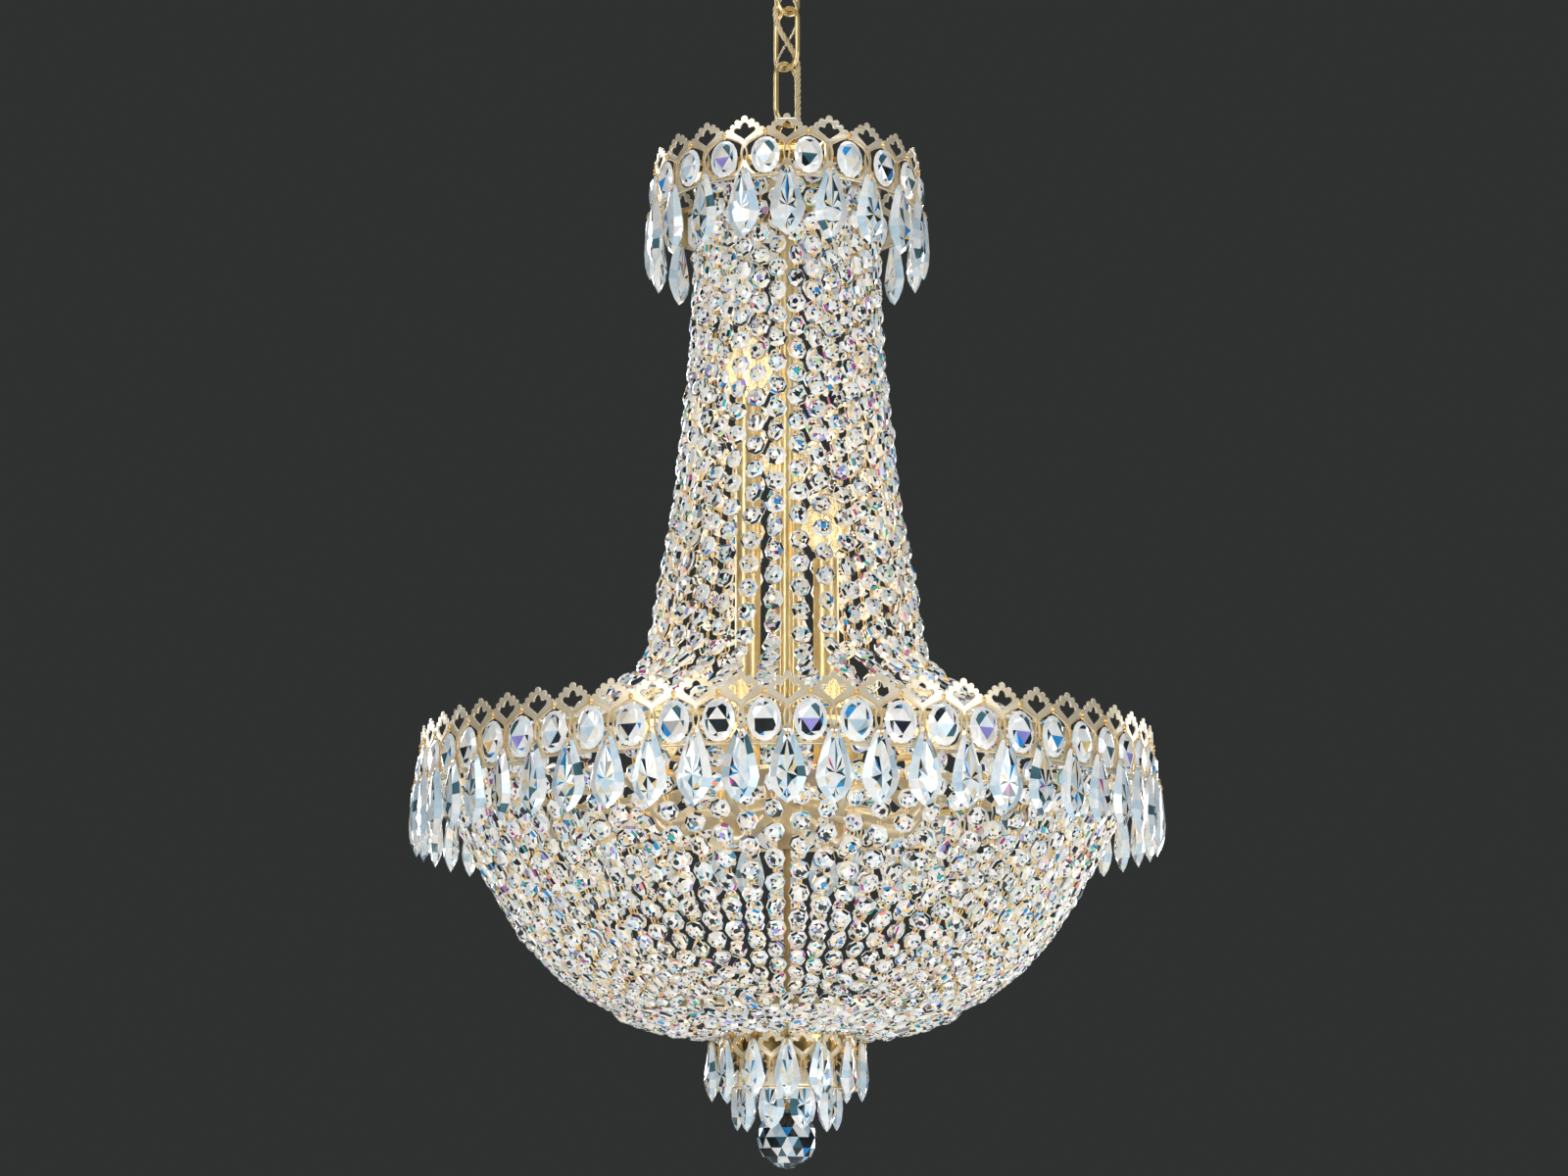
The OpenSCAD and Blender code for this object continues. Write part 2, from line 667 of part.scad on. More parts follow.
module lamp_sockets() {
  color("dimgray") around(arms_n, 0.5) translate([arm_r, 0, sleeve_z]) difference() {
    cylinder(r = sleeve_d / 2 - 1.8, h = sleeve_h);
    translate([0, 0, sleeve_h - 20]) cylinder(r = 6.3, h = 21);
  }
}

module candle_bulbs() {
  color("lightyellow") around(arms_n, 0.5) translate([arm_r, 0, sleeve_z + sleeve_h - 4]) bulb();
}

module neck_tubes() {
  color(brass) for (i = [0 : 2]) rotate([0, 0, neck_tube_angles[i]]) translate([neck_tube_r, 0, rim_hoop_z])
    difference() {
      cylinder(d = tube_d, h = neck_tube_tops[i] - rim_hoop_z);
      translate([0, 0, -1]) cylinder(d = tube_d - 2, h = neck_tube_tops[i] - rim_hoop_z + 2);
    }
}

module neck_sockets() {
  h = 40;
  color("dimgray") for (i = [0 : 2]) rotate([0, 0, neck_tube_angles[i]])
    translate([neck_tube_r, 0, neck_tube_tops[i] - h]) difference() {
      cylinder(d = tube_d - 2.4, h = h);
      translate([0, 0, h - 20]) cylinder(r = 6.3, h = 21);
    }
}

module neck_bulbs() {
  color("lightyellow") for (i = [0 : 2]) rotate([0, 0, neck_tube_angles[i]])
    translate([neck_tube_r, 0, neck_tube_tops[i] - 4]) bulb();
}

ceiling_canopy();
mounting_strap();
canopy_nipple();
canopy_loop();
chain_link_1();
chain_link_2();
chain_link_3();
lamp_cord_1();
lamp_cord_2();
lamp_cord_3();
lamp_cord_4();
top_loop();
top_cap();
centre_stem();
bowl_rod();
top_spider();
top_hoop();
top_gallery();
top_ovals();
top_drops();
neck_strands();
shoulder_strands();
rim_spider();
rim_hoop();
rim_gallery();
rim_ovals();
rim_drops();
bowl_strands();
middle_hoop();
bottom_strands();
bottom_dish();
bottom_gallery();
bottom_drops();
drop_pins();
drop_staples();
lower_drop_1();
lower_drop_2();
lower_drop_3();
lower_drop_4();
lower_drop_5();
lower_drop_6();
lower_drop_7();
lower_drop_8();
lower_drop_9();
lower_drop_10();
ball_eye();
crystal_ball();
arm_hub();
lamp_arms();
arm_wires();
candle_cups();
candle_sleeves();
lamp_sockets();
candle_bulbs();
neck_tubes();
neck_sockets();
neck_bulbs();
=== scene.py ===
"""Looks of the crystal basket chandelier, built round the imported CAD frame.

Metres, +Z up, the ceiling face at z = 0, the viewer on the -Y side.
"""
import json
import math

import bpy
import numpy as np
from mathutils import Matrix, Vector


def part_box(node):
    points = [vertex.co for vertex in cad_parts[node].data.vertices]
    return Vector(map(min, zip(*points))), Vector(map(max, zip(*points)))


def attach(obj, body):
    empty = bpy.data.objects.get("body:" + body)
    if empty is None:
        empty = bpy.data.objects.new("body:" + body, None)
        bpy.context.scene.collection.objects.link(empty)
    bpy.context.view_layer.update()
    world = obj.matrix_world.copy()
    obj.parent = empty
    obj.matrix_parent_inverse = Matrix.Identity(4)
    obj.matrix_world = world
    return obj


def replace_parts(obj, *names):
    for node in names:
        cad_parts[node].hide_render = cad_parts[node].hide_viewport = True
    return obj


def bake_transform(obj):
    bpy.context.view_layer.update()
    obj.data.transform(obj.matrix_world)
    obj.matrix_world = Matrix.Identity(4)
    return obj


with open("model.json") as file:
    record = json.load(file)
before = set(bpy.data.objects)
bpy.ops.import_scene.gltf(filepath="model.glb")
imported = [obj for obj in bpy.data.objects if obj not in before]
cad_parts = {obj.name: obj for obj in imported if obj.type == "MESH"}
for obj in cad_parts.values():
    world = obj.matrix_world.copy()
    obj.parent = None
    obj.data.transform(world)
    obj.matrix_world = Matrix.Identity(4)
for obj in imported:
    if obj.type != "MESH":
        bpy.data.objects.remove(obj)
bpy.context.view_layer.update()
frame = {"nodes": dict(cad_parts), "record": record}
NODES = frame["nodes"]
JOINTS = {j["name"]: j for j in frame["record"]["behaviour"]["joints"]}
MM = 0.001
rng = np.random.default_rng(7)

# ---------- camera and stage

CAMERA_DISTANCE = 2.010
CAMERA_HEIGHT = -0.972
CAMERA_SIDE = -0.0020
CAMERA_TILT = math.radians(12.525)
LENS, SENSOR = 68.4, 36.0
FLOOR_Z = -2.6
LIGHT_TARGET = (0, 0, -0.6)
WALL_TONE = (0.029, 0.031, 0.030, 1)
BULB_LIGHT, BULB_TONE = 0.75, (1.0, 0.80, 0.50)


def make_camera():
    data = bpy.data.cameras.new("camera")
    data.lens = LENS
    data.sensor_width = SENSOR
    data.clip_end = 100
    cam = bpy.data.objects.new("camera", data)
    bpy.context.collection.objects.link(cam)
    cam.location = (CAMERA_SIDE, -CAMERA_DISTANCE, CAMERA_HEIGHT)
    cam.rotation_euler = (math.radians(90) + CAMERA_TILT, 0, 0)
    bpy.context.scene.camera = cam


def add_lamp(name, data, place):
    """Puts a lamp in the scene. It lights the crystal, but isn't seen itself."""
    lamp = bpy.data.objects.new(name, data)
    bpy.context.collection.objects.link(lamp)
    lamp.location = place
    lamp.visible_camera = False
    lamp.visible_transmission = False
    return lamp


def area_light(name, place, size, watts, colour=(1, 1, 1)):
    """Soft rectangular lamp turned to the middle of the chandelier."""
    data = bpy.data.lights.new(name, "AREA")
    data.shape = "RECTANGLE"
    data.size, data.size_y = size
    data.energy = watts
    data.color = colour
    way = Vector(LIGHT_TARGET) - Vector(place)
    add_lamp(name, data, place).rotation_euler = way.to_track_quat("-Z", "Y").to_euler()


def make_lights():
    area_light("key", (-1.7, -2.3, 0.5), (1.1, 1.6), 32, (1.0, 0.98, 0.95))
    area_light("fill", (2.2, -1.9, -0.5), (0.9, 1.8), 24, (0.95, 0.98, 1.0))
    area_light("low_front", (0.2, -2.0, -2.1), (1.6, 0.7), 32, (1.0, 0.97, 0.92))
    area_light("back_left", (-1.6, 1.9, 0.1), (0.6, 1.8), 26, (0.9, 0.95, 1.0))
    area_light("back_right", (1.8, 1.7, -0.7), (0.6, 1.8), 26, (1.0, 0.98, 0.94))
    area_light("overhead", (0.0, 0.2, 1.5), (1.6, 1.6), 24)
    bpy.context.scene.view_settings.view_transform = "Standard"


def warm_lamp(name, place):
    """Soft warm light of one lit bulb."""
    data = bpy.data.lights.new(name, "POINT")
    data.energy = BULB_LIGHT
    data.color = BULB_TONE
    data.shadow_soft_size = 0.02
    add_lamp(name, data, place).visible_glossy = False


def make_world():
    world = bpy.data.worlds.new("studio")
    bpy.context.scene.world = world
    world.use_nodes = True
    back = world.node_tree.nodes["Background"]
    back.inputs["Color"].default_value = WALL_TONE
    back.inputs["Strength"].default_value = 1.0


# ---------- mesh helpers

def mesh_object(name, verts, faces, body, material, smooth=False, facet=None):
    """A mesh piece that rides on a body. facet holds one random colour key per face, for the crystal."""
    mesh = bpy.data.meshes.new(name)
    mesh.from_pydata([tuple(v) for v in np.asarray(verts, dtype=float)], [], faces)
    mesh.validate()
    if facet is not None:
        layer = mesh.attributes.new("facet", "FLOAT_COLOR", "FACE")
        layer.data.foreach_set("color", np.asarray(facet, dtype=np.float32).ravel())
    mesh.polygons.foreach_set("use_smooth", [smooth] * len(mesh.polygons))
    mesh.materials.append(material)
    obj = bpy.data.objects.new(name, mesh)
    bpy.context.collection.objects.link(obj)
    if body:
        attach(obj, body)
    return obj


class Soup:
    """Many small shapes gathered into one mesh.

    ranges gives each face the span that its colour key is drawn from.
    """

    def __init__(self):
        self.verts, self.faces, self.ranges, self.count = [], [], [], 0

    def add(self, verts, faces, matrix=None, ranges=None):
        verts = np.asarray(verts, dtype=float)
        if matrix is not None:
            m = np.asarray(matrix)
            verts = verts @ m[:3, :3].T + m[:3, 3]
        self.verts.append(verts)
        base = self.count
        self.faces.extend(tuple(base + i for i in f) for f in faces)
        self.ranges.extend(ranges or [(0.0, 1.0)] * len(faces))
        self.count += len(verts)

    def build(self, name, body, slot, material, smooth=False, facets=False):
        keys = None
        if facets:
            keys = np.ones((len(self.faces), 4))
            low, high = np.array(self.ranges).T
            keys[:, 0] = low + (high - low) * rng.random(len(self.faces))
        return mesh_object(name, np.vstack(self.verts), self.faces, body, material, smooth, keys)


def lathe(profile, segments, closed=True):
    """Turns a profile of (radius, height) round Z; closed joins its last point to its first."""
    verts, faces = [], []
    rows = len(profile)
    for k in range(segments):
        a = 2 * math.pi * k / segments
        verts += [(r * math.cos(a), r * math.sin(a), z) for r, z in profile]
    for k in range(segments):
        n = (k + 1) % segments
        for i in range(rows if closed else rows - 1):
            j = (i + 1) % rows
            faces.append((k * rows + i, n * rows + i, n * rows + j, k * rows + j))
    return np.array(verts), faces


def smooth_line(points, per_span=6):
    """Points of a Catmull-Rom curve through the given points, of any dimension."""
    p = np.asarray(points, dtype=float)
    p = np.vstack([2 * p[0] - p[1], p, 2 * p[-1] - p[-2]])
    out = []
    for i in range(1, len(p) - 2):
        a, b, c, d = p[i - 1], p[i], p[i + 1], p[i + 2]
        for s in range(per_span):
            t = s / per_span
            out.append(0.5 * (2 * b + (c - a) * t + (2 * a - 5 * b + 4 * c - d) * t ** 2
                              + (3 * b - a - 3 * c + d) * t ** 3))
    out.append(p[-2])
    return np.array(out)


def resample(line, step):
    """Points spaced evenly along a polyline."""
    line = np.asarray(line, dtype=float)
    along = np.concatenate([[0], np.cumsum(np.linalg.norm(np.diff(line, axis=0), axis=1))])
    at = np.arange(0.0, along[-1], step)
    return np.stack([np.interp(at, along, line[:, i]) for i in range(line.shape[1])], axis=1)


def tube(points, radius, sides=8, closed=False):
    """A round tube along points; radius is one number or one per point."""
    pts = [Vector(p) for p in points]
    n = len(pts)
    radii = [radius] * n if np.isscalar(radius) else list(radius)
    ways = []
    for i in range(n):
        a = pts[(i - 1) % n] if closed else pts[max(i - 1, 0)]
        b = pts[(i + 1) % n] if closed else pts[min(i + 1, n - 1)]
        ways.append((b - a).normalized())
    up = Vector((0, 0, 1)) if abs(ways[0].z) < 0.9 else Vector((0, 1, 0))
    side = (up - ways[0] * up.dot(ways[0])).normalized()
    verts, faces = [], []
    for i in range(n):
        side = (side - ways[i] * side.dot(ways[i])).normalized()
        other = ways[i].cross(side)
        for k in range(sides):
            a = 2 * math.pi * k / sides
            verts.append(pts[i] + radii[i] * (math.cos(a) * side + math.sin(a) * other))
    for i in range(n if closed else n - 1):
        j = (i + 1) % n
        for k in range(sides):
            m = (k + 1) % sides
            faces.append((i * sides + k, i * sides + m, j * sides + m, j * sides + k))
    if not closed:
        faces.append(tuple(range(sides - 1, -1, -1)))
        faces.append(tuple((n - 1) * sides + k for k in range(sides)))
    return np.array([tuple(v) for v in verts]), faces


def ring_points(radius, count):
    """A closed loop in the X-Z plane."""
    angles = [2 * math.pi * k / count for k in range(count)]
    return [(radius * math.cos(a), 0, radius * math.sin(a)) for a in angles]


def turned(angle):
    return Matrix.Rotation(angle, 4, "Z")


def middle_z(node):
    low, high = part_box(node)
    return (low[2] + high[2]) / 2


# ---------- materials

class Graph:
    """A short way to write one material's nodes. Values are set on the shader's own sockets."""

    def __init__(self, name, **values):
        self.material = bpy.data.materials.new(name)
        self.material.use_nodes = True
        self.tree = self.material.node_tree
        self.shader = self.tree.nodes["Principled BSDF"]
        for key, value in values.items():
            self.shader.inputs[key.replace("_", " ")].default_value = value

    def node(self, kind, **values):
        """A new node; each value goes to its socket, or to its setting where it has no such socket."""
        made = self.tree.nodes.new(kind)
        for key, value in values.items():
            if key in made.inputs:
                made.inputs[key].default_value = value
            else:
                setattr(made, key, value)
        return made

    def link(self, out, into):
        self.tree.links.new(out, into)

    def feed(self, out, *names):
        """Links an output to sockets of the shader."""
        for name in names:
            self.link(out, self.shader.inputs[name])

    def coords(self):
        return self.node("ShaderNodeTexCoord").outputs["Object"]

    def noise(self, scale, detail=3.0):
        made = self.node("ShaderNodeTexNoise", Scale=scale, Detail=detail, Roughness=0.55)
        self.link(self.coords(), made.inputs["Vector"])
        return made.outputs["Fac"]

    def ramp(self, source, stops, mode="LINEAR"):
        made = self.node("ShaderNodeValToRGB")
        made.color_ramp.interpolation = mode
        row = made.color_ramp.elements
        while len(row) < len(stops):
            row.new(0.5)
        for element, (at, colour) in zip(row, stops):
            element.position = at
            element.color = (*colour, 1)
        self.link(source, made.inputs["Fac"])
        return made.outputs["Color"]

    def math(self, operation, a, b):
        made = self.node("ShaderNodeMath", operation=operation)
        for socket, value in zip(made.inputs, (a, b)):
            if isinstance(value, (int, float)):
                socket.default_value = value
            else:
                self.link(value, socket)
        return made.outputs["Value"]

    def scaled(self, source, by, base):
        """source * by + base."""
        return self.math("ADD", self.math("MULTIPLY", source, by), base)

    def multiplied(self, a, b):
        """Product of two colours."""
        made = self.node("ShaderNodeMix", data_type="RGBA", blend_type="MULTIPLY")
        made.inputs[0].default_value = 1.0
        first, second = [socket for socket in made.inputs if socket.type == "RGBA"]
        self.link(a, first)
        self.link(b, second)
        return [socket for socket in made.outputs if socket.type == "RGBA"][0]

    def bump(self, height, strength, distance):
        made = self.node("ShaderNodeBump", Strength=strength, Distance=distance)
        self.link(height, made.inputs["Height"])
        self.feed(made.outputs["Normal"], "Normal")


def metal(name, light, dark, roughness, painted_hollow_shade, scratch=0.06, metallic=1.0):
    """Plated metal: two tones by noise, painted shade darkening its hollows, and fine polishing scratches."""
    g = Graph(name, Metallic=metallic, IOR=1.5)
    cloud = g.noise(38.0, 5.0)
    worn = g.ramp(cloud, [(0.36, dark), (0.62, light)])
    # Painted shade: concave spots, found by pointiness, are darkened by the hollow colour passed in.
    hollow = g.node("ShaderNodeNewGeometry").outputs["Pointiness"]
    depth = g.ramp(hollow, [(0.44, painted_hollow_shade), (0.5, (1, 1, 1))])
    g.feed(g.multiplied(worn, depth), "Base Color")
    streak = g.noise(420.0, 2.0)
    low, high = roughness
    g.feed(g.math("ADD", g.scaled(cloud, high - low, low), g.math("MULTIPLY", streak, 0.05)), "Roughness")
    g.bump(streak, scratch, 0.0003)
    return g.material


def crystal(name, stops, roughness, glow, transmission=0.35):
    """Cut glass: each facet takes a painted colour from the colour key stored on it, so the cutting shows. The
    facet colours are painted highlights, reflections and prismatic fire on clear glass, and its glow is painted
    light.
    """
    g = Graph(name, Roughness=roughness, IOR=1.56, Transmission_Weight=transmission, Specular_IOR_Level=0.8,
              Emission_Strength=glow)
    keys = g.node("ShaderNodeAttribute", attribute_name="facet")
    parts = g.node("ShaderNodeSeparateColor")
    g.link(keys.outputs["Color"], parts.inputs["Color"])
    # Painted light: the facet colour stands for highlights, reflections and prismatic fire, not for a colour of
    # the glass.
    painted_facet_light = g.ramp(parts.outputs["Red"], stops, "CONSTANT")
    shade = g.ramp(g.noise(260.0, 2.0), [(0.3, (0.86, 0.88, 0.9)), (0.7, (1, 1, 1))])
    # The same painted colour feeds the emission, so the glass glows with painted light where lamp light would
    # shine through it.
    g.feed(g.multiplied(painted_facet_light, shade), "Base Color", "Emission Color")
    g.bump(g.noise(900.0, 1.0), 0.02, 0.0002)
    return g.material


def cloth_cord(name):
    """Gold fabric cord: fine diagonal ribs whose colour follows their height, painted shade in the grooves and
    painted highlight on the crests.
    """
    g = Graph(name, Metallic=0.15, IOR=1.5)
    wave = g.node("ShaderNodeTexWave", Scale=900.0, Distortion=1.5, Detail=2.0)
    wave.bands_direction = "DIAGONAL"
    g.link(g.coords(), wave.inputs["Vector"])
    # Painted light: the same wave gives the bump and the colour, dark in the grooves as painted shade and light
    # on the crests as painted highlight.
    stops = [(0.1, (0.60, 0.40, 0.15)), (0.5, (1.0, 0.82, 0.45)), (0.9, (1.0, 0.95, 0.76))]
    g.feed(g.ramp(wave.outputs["Fac"], stops), "Base Color")
    g.feed(g.scaled(g.noise(300.0), 0.25, 0.28), "Roughness")
    g.bump(wave.outputs["Fac"], 0.5, 0.0002)
    return g.material


def plastic(name, light, dark, roughness):
    """Moulded plastic: faint mottling with a fine grain in its gloss."""
    g = Graph(name, IOR=1.46)
    cloud = g.noise(60.0, 4.0)
    g.feed(g.ramp(cloud, [(0.3, dark), (0.7, light)]), "Base Color")
    g.feed(g.scaled(cloud, 0.2, roughness), "Roughness")
    g.bump(g.noise(700.0, 2.0), 0.15, 0.0002)
    return g.material


def lit_glass(name, colour, glow, transmission):
    """Smooth glass or hot wire that glows a little."""
    g = Graph(name, IOR=1.45, Roughness=0.05, Transmission_Weight=transmission, Emission_Strength=glow)
    tone = g.ramp(g.noise(45.0, 2.0), [(0.3, tuple(0.9 * c for c in colour)), (0.7, colour)])
    g.feed(tone, "Base Color", "Emission Color")
    g.bump(g.noise(120.0, 2.0), 0.03, 0.0005)
    return g.material


def floor_paint():
    """Pale matt studio floor."""
    g = Graph("studio_floor")
    cloud = g.noise(1.3, 4.0)
    g.feed(g.ramp(cloud, [(0.3, (0.72, 0.72, 0.70)), (0.7, (0.78, 0.78, 0.76))]), "Base Color")
    g.feed(g.scaled(cloud, 0.1, 0.5), "Roughness")
    return g.material


WHITE, CREAM, ICE = (1.0, 1.0, 1.0), (1.0, 0.93, 0.80), (0.62, 0.80, 0.93)
FROST, TEAL, SEA = (0.82, 0.93, 1.0), (0.05, 0.14, 0.18), (0.03, 0.48, 0.52)
SMOKE, DEEP, GOLD = (0.22, 0.25, 0.28), (0.012, 0.018, 0.024), (0.95, 0.70, 0.32)
ROSE, LIME, VIOLET = (1.0, 0.36, 0.28), (0.55, 0.85, 0.45), (0.38, 0.34, 0.85)
AZURE, PLUM, SAND = (0.02, 0.30, 0.78), (0.55, 0.06, 0.34), (0.90, 0.76, 0.52)
# Facet colour tables for the crystal, all painted light on clear glass: the pale colours are painted highlights,
# gold and sand painted reflections of the brass, smoke, teal and deep painted reflections of the dark
# surroundings, and the strong hues painted prismatic fire.
BEAD_STOPS = [(0.0, WHITE), (0.36, CREAM), (0.50, ICE), (0.58, SAND), (0.64, GOLD), (0.68, SMOKE), (0.73, DEEP),
              (0.91, VIOLET), (0.925, AZURE), (0.945, SEA), (0.96, PLUM), (0.97, ROSE), (0.98, LIME),
              (0.985, WHITE)]
DROP_STOPS = [(0.0, WHITE), (0.22, FROST), (0.42, ICE), (0.56, TEAL), (0.66, DEEP), (0.76, CREAM), (0.84, SAND),
              (0.89, AZURE), (0.92, GOLD), (0.95, PLUM), (0.96, WHITE)]
BALL_STOPS = [(0.0, WHITE), (0.18, ICE), (0.30, TEAL), (0.50, DEEP), (0.95, AZURE)]
OVAL_STOPS = [(0.0, WHITE), (0.34, FROST), (0.46, CREAM), (0.54, TEAL), (0.62, DEEP), (0.74, AZURE),
              (0.82, GOLD), (0.88, ICE), (0.93, VIOLET)]


def make_materials():
    """Every material by a short key. A metal's values: light and dark tone, span of roughness, painted shade of
    the hollows.
    """
    return {
        "brass": metal("polished_brass", (0.88, 0.63, 0.25), (0.72, 0.47, 0.16), (0.12, 0.26),
                       (0.55, 0.42, 0.28)),
        "chain": metal("chain_brass", (1.0, 0.82, 0.46), (0.93, 0.68, 0.30), (0.14, 0.28), (0.5, 0.38, 0.22),
                       scratch=0.1, metallic=0.6),
        "filigree": metal("champagne_filigree", (0.96, 0.89, 0.74), (0.86, 0.74, 0.52), (0.22, 0.36),
                          (0.58, 0.40, 0.20), scratch=0.12, metallic=0.45),
        "pins": metal("pin_wire", (0.98, 0.72, 0.33), (0.86, 0.55, 0.20), (0.22, 0.36), (0.6, 0.45, 0.3),
                      metallic=0.6),
        "inner": metal("inner_brass", (0.88, 0.74, 0.44), (0.70, 0.54, 0.26), (0.20, 0.36), (0.5, 0.36, 0.18),
                       metallic=0.85),
        "arms": metal("arm_brass", (0.84, 0.74, 0.54), (0.66, 0.55, 0.37), (0.25, 0.40), (0.5, 0.38, 0.22),
                      metallic=0.6),
        "steel": metal("zinc_steel", (0.66, 0.67, 0.68), (0.5, 0.51, 0.53), (0.3, 0.5), (0.6, 0.6, 0.6),
                       scratch=0.2),
        # The glow values of the crystal materials are painted light: glass that glows as if lit through by the
        # bulbs.
        "beads": crystal("crystal_beads", BEAD_STOPS, 0.05, 0.17, transmission=0.3),
        "drops": crystal("crystal_drops", DROP_STOPS, 0.03, 0.14),
        "ball": crystal("crystal_ball_glass", BALL_STOPS, 0.02, 0.10),
        "ovals": crystal("crystal_ovals", OVAL_STOPS, 0.03, 0.14),
        "cord": cloth_cord("gold_cord_cloth"),
        "ground": metal("ground_wire_metal", (1.0, 0.93, 0.76), (0.9, 0.76, 0.52), (0.15, 0.3), (0.5, 0.4, 0.3),
                        scratch=0.2, metallic=0.7),
        "cover": plastic("candle_cover_gold", (0.86, 0.64, 0.28), (0.74, 0.50, 0.18), 0.3),
        "socket": plastic("socket_black", (0.06, 0.055, 0.05), (0.03, 0.028, 0.026), 0.4),
        "wire": plastic("wire_sleeve", (0.05, 0.05, 0.05), (0.02, 0.02, 0.02), 0.35),
        "bulb": lit_glass("bulb_clear", (1.0, 0.92, 0.76), 0.04, 0.95),
        "filament": lit_glass("filament_hot", (1.0, 0.76, 0.42), 1.6, 0.0),
    }


# ---------- cut crystal, facing +X, hanging down from z = 0

def both_sides(front, outline, front_faces):
    """Joins front points (depth, side, height) to their mirror image behind an outline (side, height)."""
    count, shift = len(outline), len(front)
    verts = [(0, y, z) for y, z in outline] + front + [(-x, y, z) for x, y, z in front]
    faces = []
    for f in front_faces:
        faces += [tuple(f), tuple(i if i < count else i + shift for i in reversed(f))]
    return np.array(verts, dtype=float), faces


def facet_ring(a, b, count):
    """Quads between two rings whose first indices are a and b."""
    return [(a + k, a + (k + 1) % count, b + (k + 1) % count, b + k) for k in range(count)]


def twice(ranges):
    """Colour spans for a face and its mirror image, as both_sides lists them."""
    return [span for span in ranges for _ in range(2)]


def bead_shape(radius, thick):
    """Octagon bead with a small table and two rows of star facets on each side, centred on the origin."""
    side = [(0.30, 0.50, 0.0), (0.58, 0.44, 0.5), (0.82, 0.31, 0.0), (1.0, 0.09, 0.0)]
    verts = []
    for r, x, offset in side + [(r, -x, offset) for r, x, offset in side[::-1]]:
        turns = [math.pi / 4 * (k + offset) for k in range(8)]
        verts += [(x * thick, radius * r * math.sin(a), radius * r * math.cos(a)) for a in turns]
    faces = [tuple(range(7, -1, -1)), tuple(range(56, 64))]
    for k in range(8):
        n = (k + 1) % 8
        front = [(k, n, 8 + k), (n, 8 + n, 8 + k), (8 + k, 8 + n, 16 + n), (8 + k, 16 + n, 16 + k),
                 (16 + k, 16 + n, 24 + n, 24 + k)]
        back = {i: 56 - 8 * (i // 8) + i % 8 for f in front for i in f}
        faces += front + [tuple(back[i] for i in reversed(f)) for f in front]
        faces.append((24 + k, 24 + n, 32 + n, 32 + k))
    return np.array(verts), faces


def oval_shape(width, length, thick):
    """Faceted oval: a bevelled rim round two triangles that meet on a level ridge, side facets between."""
    half_w, half_l, count = width / 2, length / 2, 16
    angles = [2 * math.pi * k / count for k in range(count)]
    outline = [(half_w * math.sin(a), -half_l + half_l * math.cos(a)) for a in angles]
    inner = [(thick * 0.30, 0.76 * half_w * math.sin(a), -half_l + 0.79 * half_l * math.cos(a)) for a in angles]
    table = [(thick / 2, 0, -half_l * 0.42), (thick / 2, 0.56 * half_w, -half_l),
             (thick / 2, 0, -half_l * 1.62), (thick / 2, -0.56 * half_w, -half_l)]
    faces = [(b, a, d, c) for a, b, c, d in facet_ring(0, count, count)]
    top, right, low, left = (2 * count + i for i in range(4))
    corners = [top, right, low, left, top]
    for n in range(4):
        a, b = corners[n], corners[n + 1]
        r = [count + (4 * n + i) % count for i in range(5)]
        faces += [(r[0], r[1], a), (r[1], r[2], b, a), (r[2], r[3], b), (r[3], r[4], b)]
    faces += [(left, right, top), (right, left, low)]
    # The bevelled rim takes only the pale end of the facet colours, a painted highlight along the edge; the upper
    # table triangle takes the lighter half and the lower one the darker half, as painted light.
    ranges = [(0.0, 0.42)] * 16 + [(0.0, 0.80)] * 16 + [(0.0, 0.55), (0.45, 1.0)]
    return *both_sides(inner + table, outline, faces), twice(ranges)


def drop_shape(width, length, thick):
    """Long almond drop: widest low down, a lozenge of long facets on each face and a bevelled edge."""
    w, l, t = width / 2, length, thick / 2
    half = [(0.20 * w, 0.0), (0.36 * w, -0.06 * l), (0.72 * w, -0.32 * l), (0.90 * w, -0.50 * l),
            (w, -0.65 * l), (0.84 * w, -0.79 * l), (0.46 * w, -0.92 * l)]
    outline = half + [(0, -l)] + [(-y, z) for y, z in reversed(half)]
    inner = [(0.34 * t, 0.10 * w, -0.035 * l), (0.60 * t, 0.20 * w, -0.12 * l), (0.84 * t, 0.38 * w, -0.36 * l),
             (0.95 * t, 0.50 * w, -0.52 * l), (t, 0.56 * w, -0.65 * l), (0.86 * t, 0.44 * w, -0.78 * l),
             (0.60 * t, 0.20 * w, -0.89 * l)]
    points = inner + [(0.40 * t, 0, -0.94 * l)] + [(x, -y, z) for x, y, z in reversed(inner)]
    points += [(0.80 * t, 0, -0.14 * l), (1.08 * t, 0, -0.60 * l), (0.92 * t, 0, -0.80 * l)]
    count = len(outline)
    top, mid, low = 2 * count, 2 * count + 1, 2 * count + 2
    r = [count + i for i in range(8)]
    q = [count + count - 1 - i for i in range(8)]
    flat = [(r[0], r[1], top), (r[1], r[2], top), (r[2], mid, top), (r[2], r[3], mid), (r[3], r[4], mid),
            (r[4], r[5], low, mid), (r[5], r[6], low), (r[6], r[7], low),
            (q[1], q[0], top), (q[2], q[1], top), (mid, q[2], top), (q[3], q[2], mid), (q[4], q[3], mid),
            (q[5], q[4], mid, low), (q[6], q[5], low), (r[7], q[6], low), (q[0], r[0], top)]
    cut = []
    for f in flat:
        x, y, z = np.mean([points[i - count] for i in f], axis=0)
        points.append((x + 0.02 * t, y, z))
        cut += [(f[i], f[(i + 1) % len(f)], count + len(points) - 1) for i in range(len(f))]
    rim = facet_ring(0, count, count)
    # The bevelled rim takes only the pale part of the facet colours, a painted highlight along the edge.
    ranges = [(0.0, 0.60)] * len(rim) + [(0.08, 1.0)] * len(cut)
    return *both_sides(points, outline, rim + cut), twice(ranges)


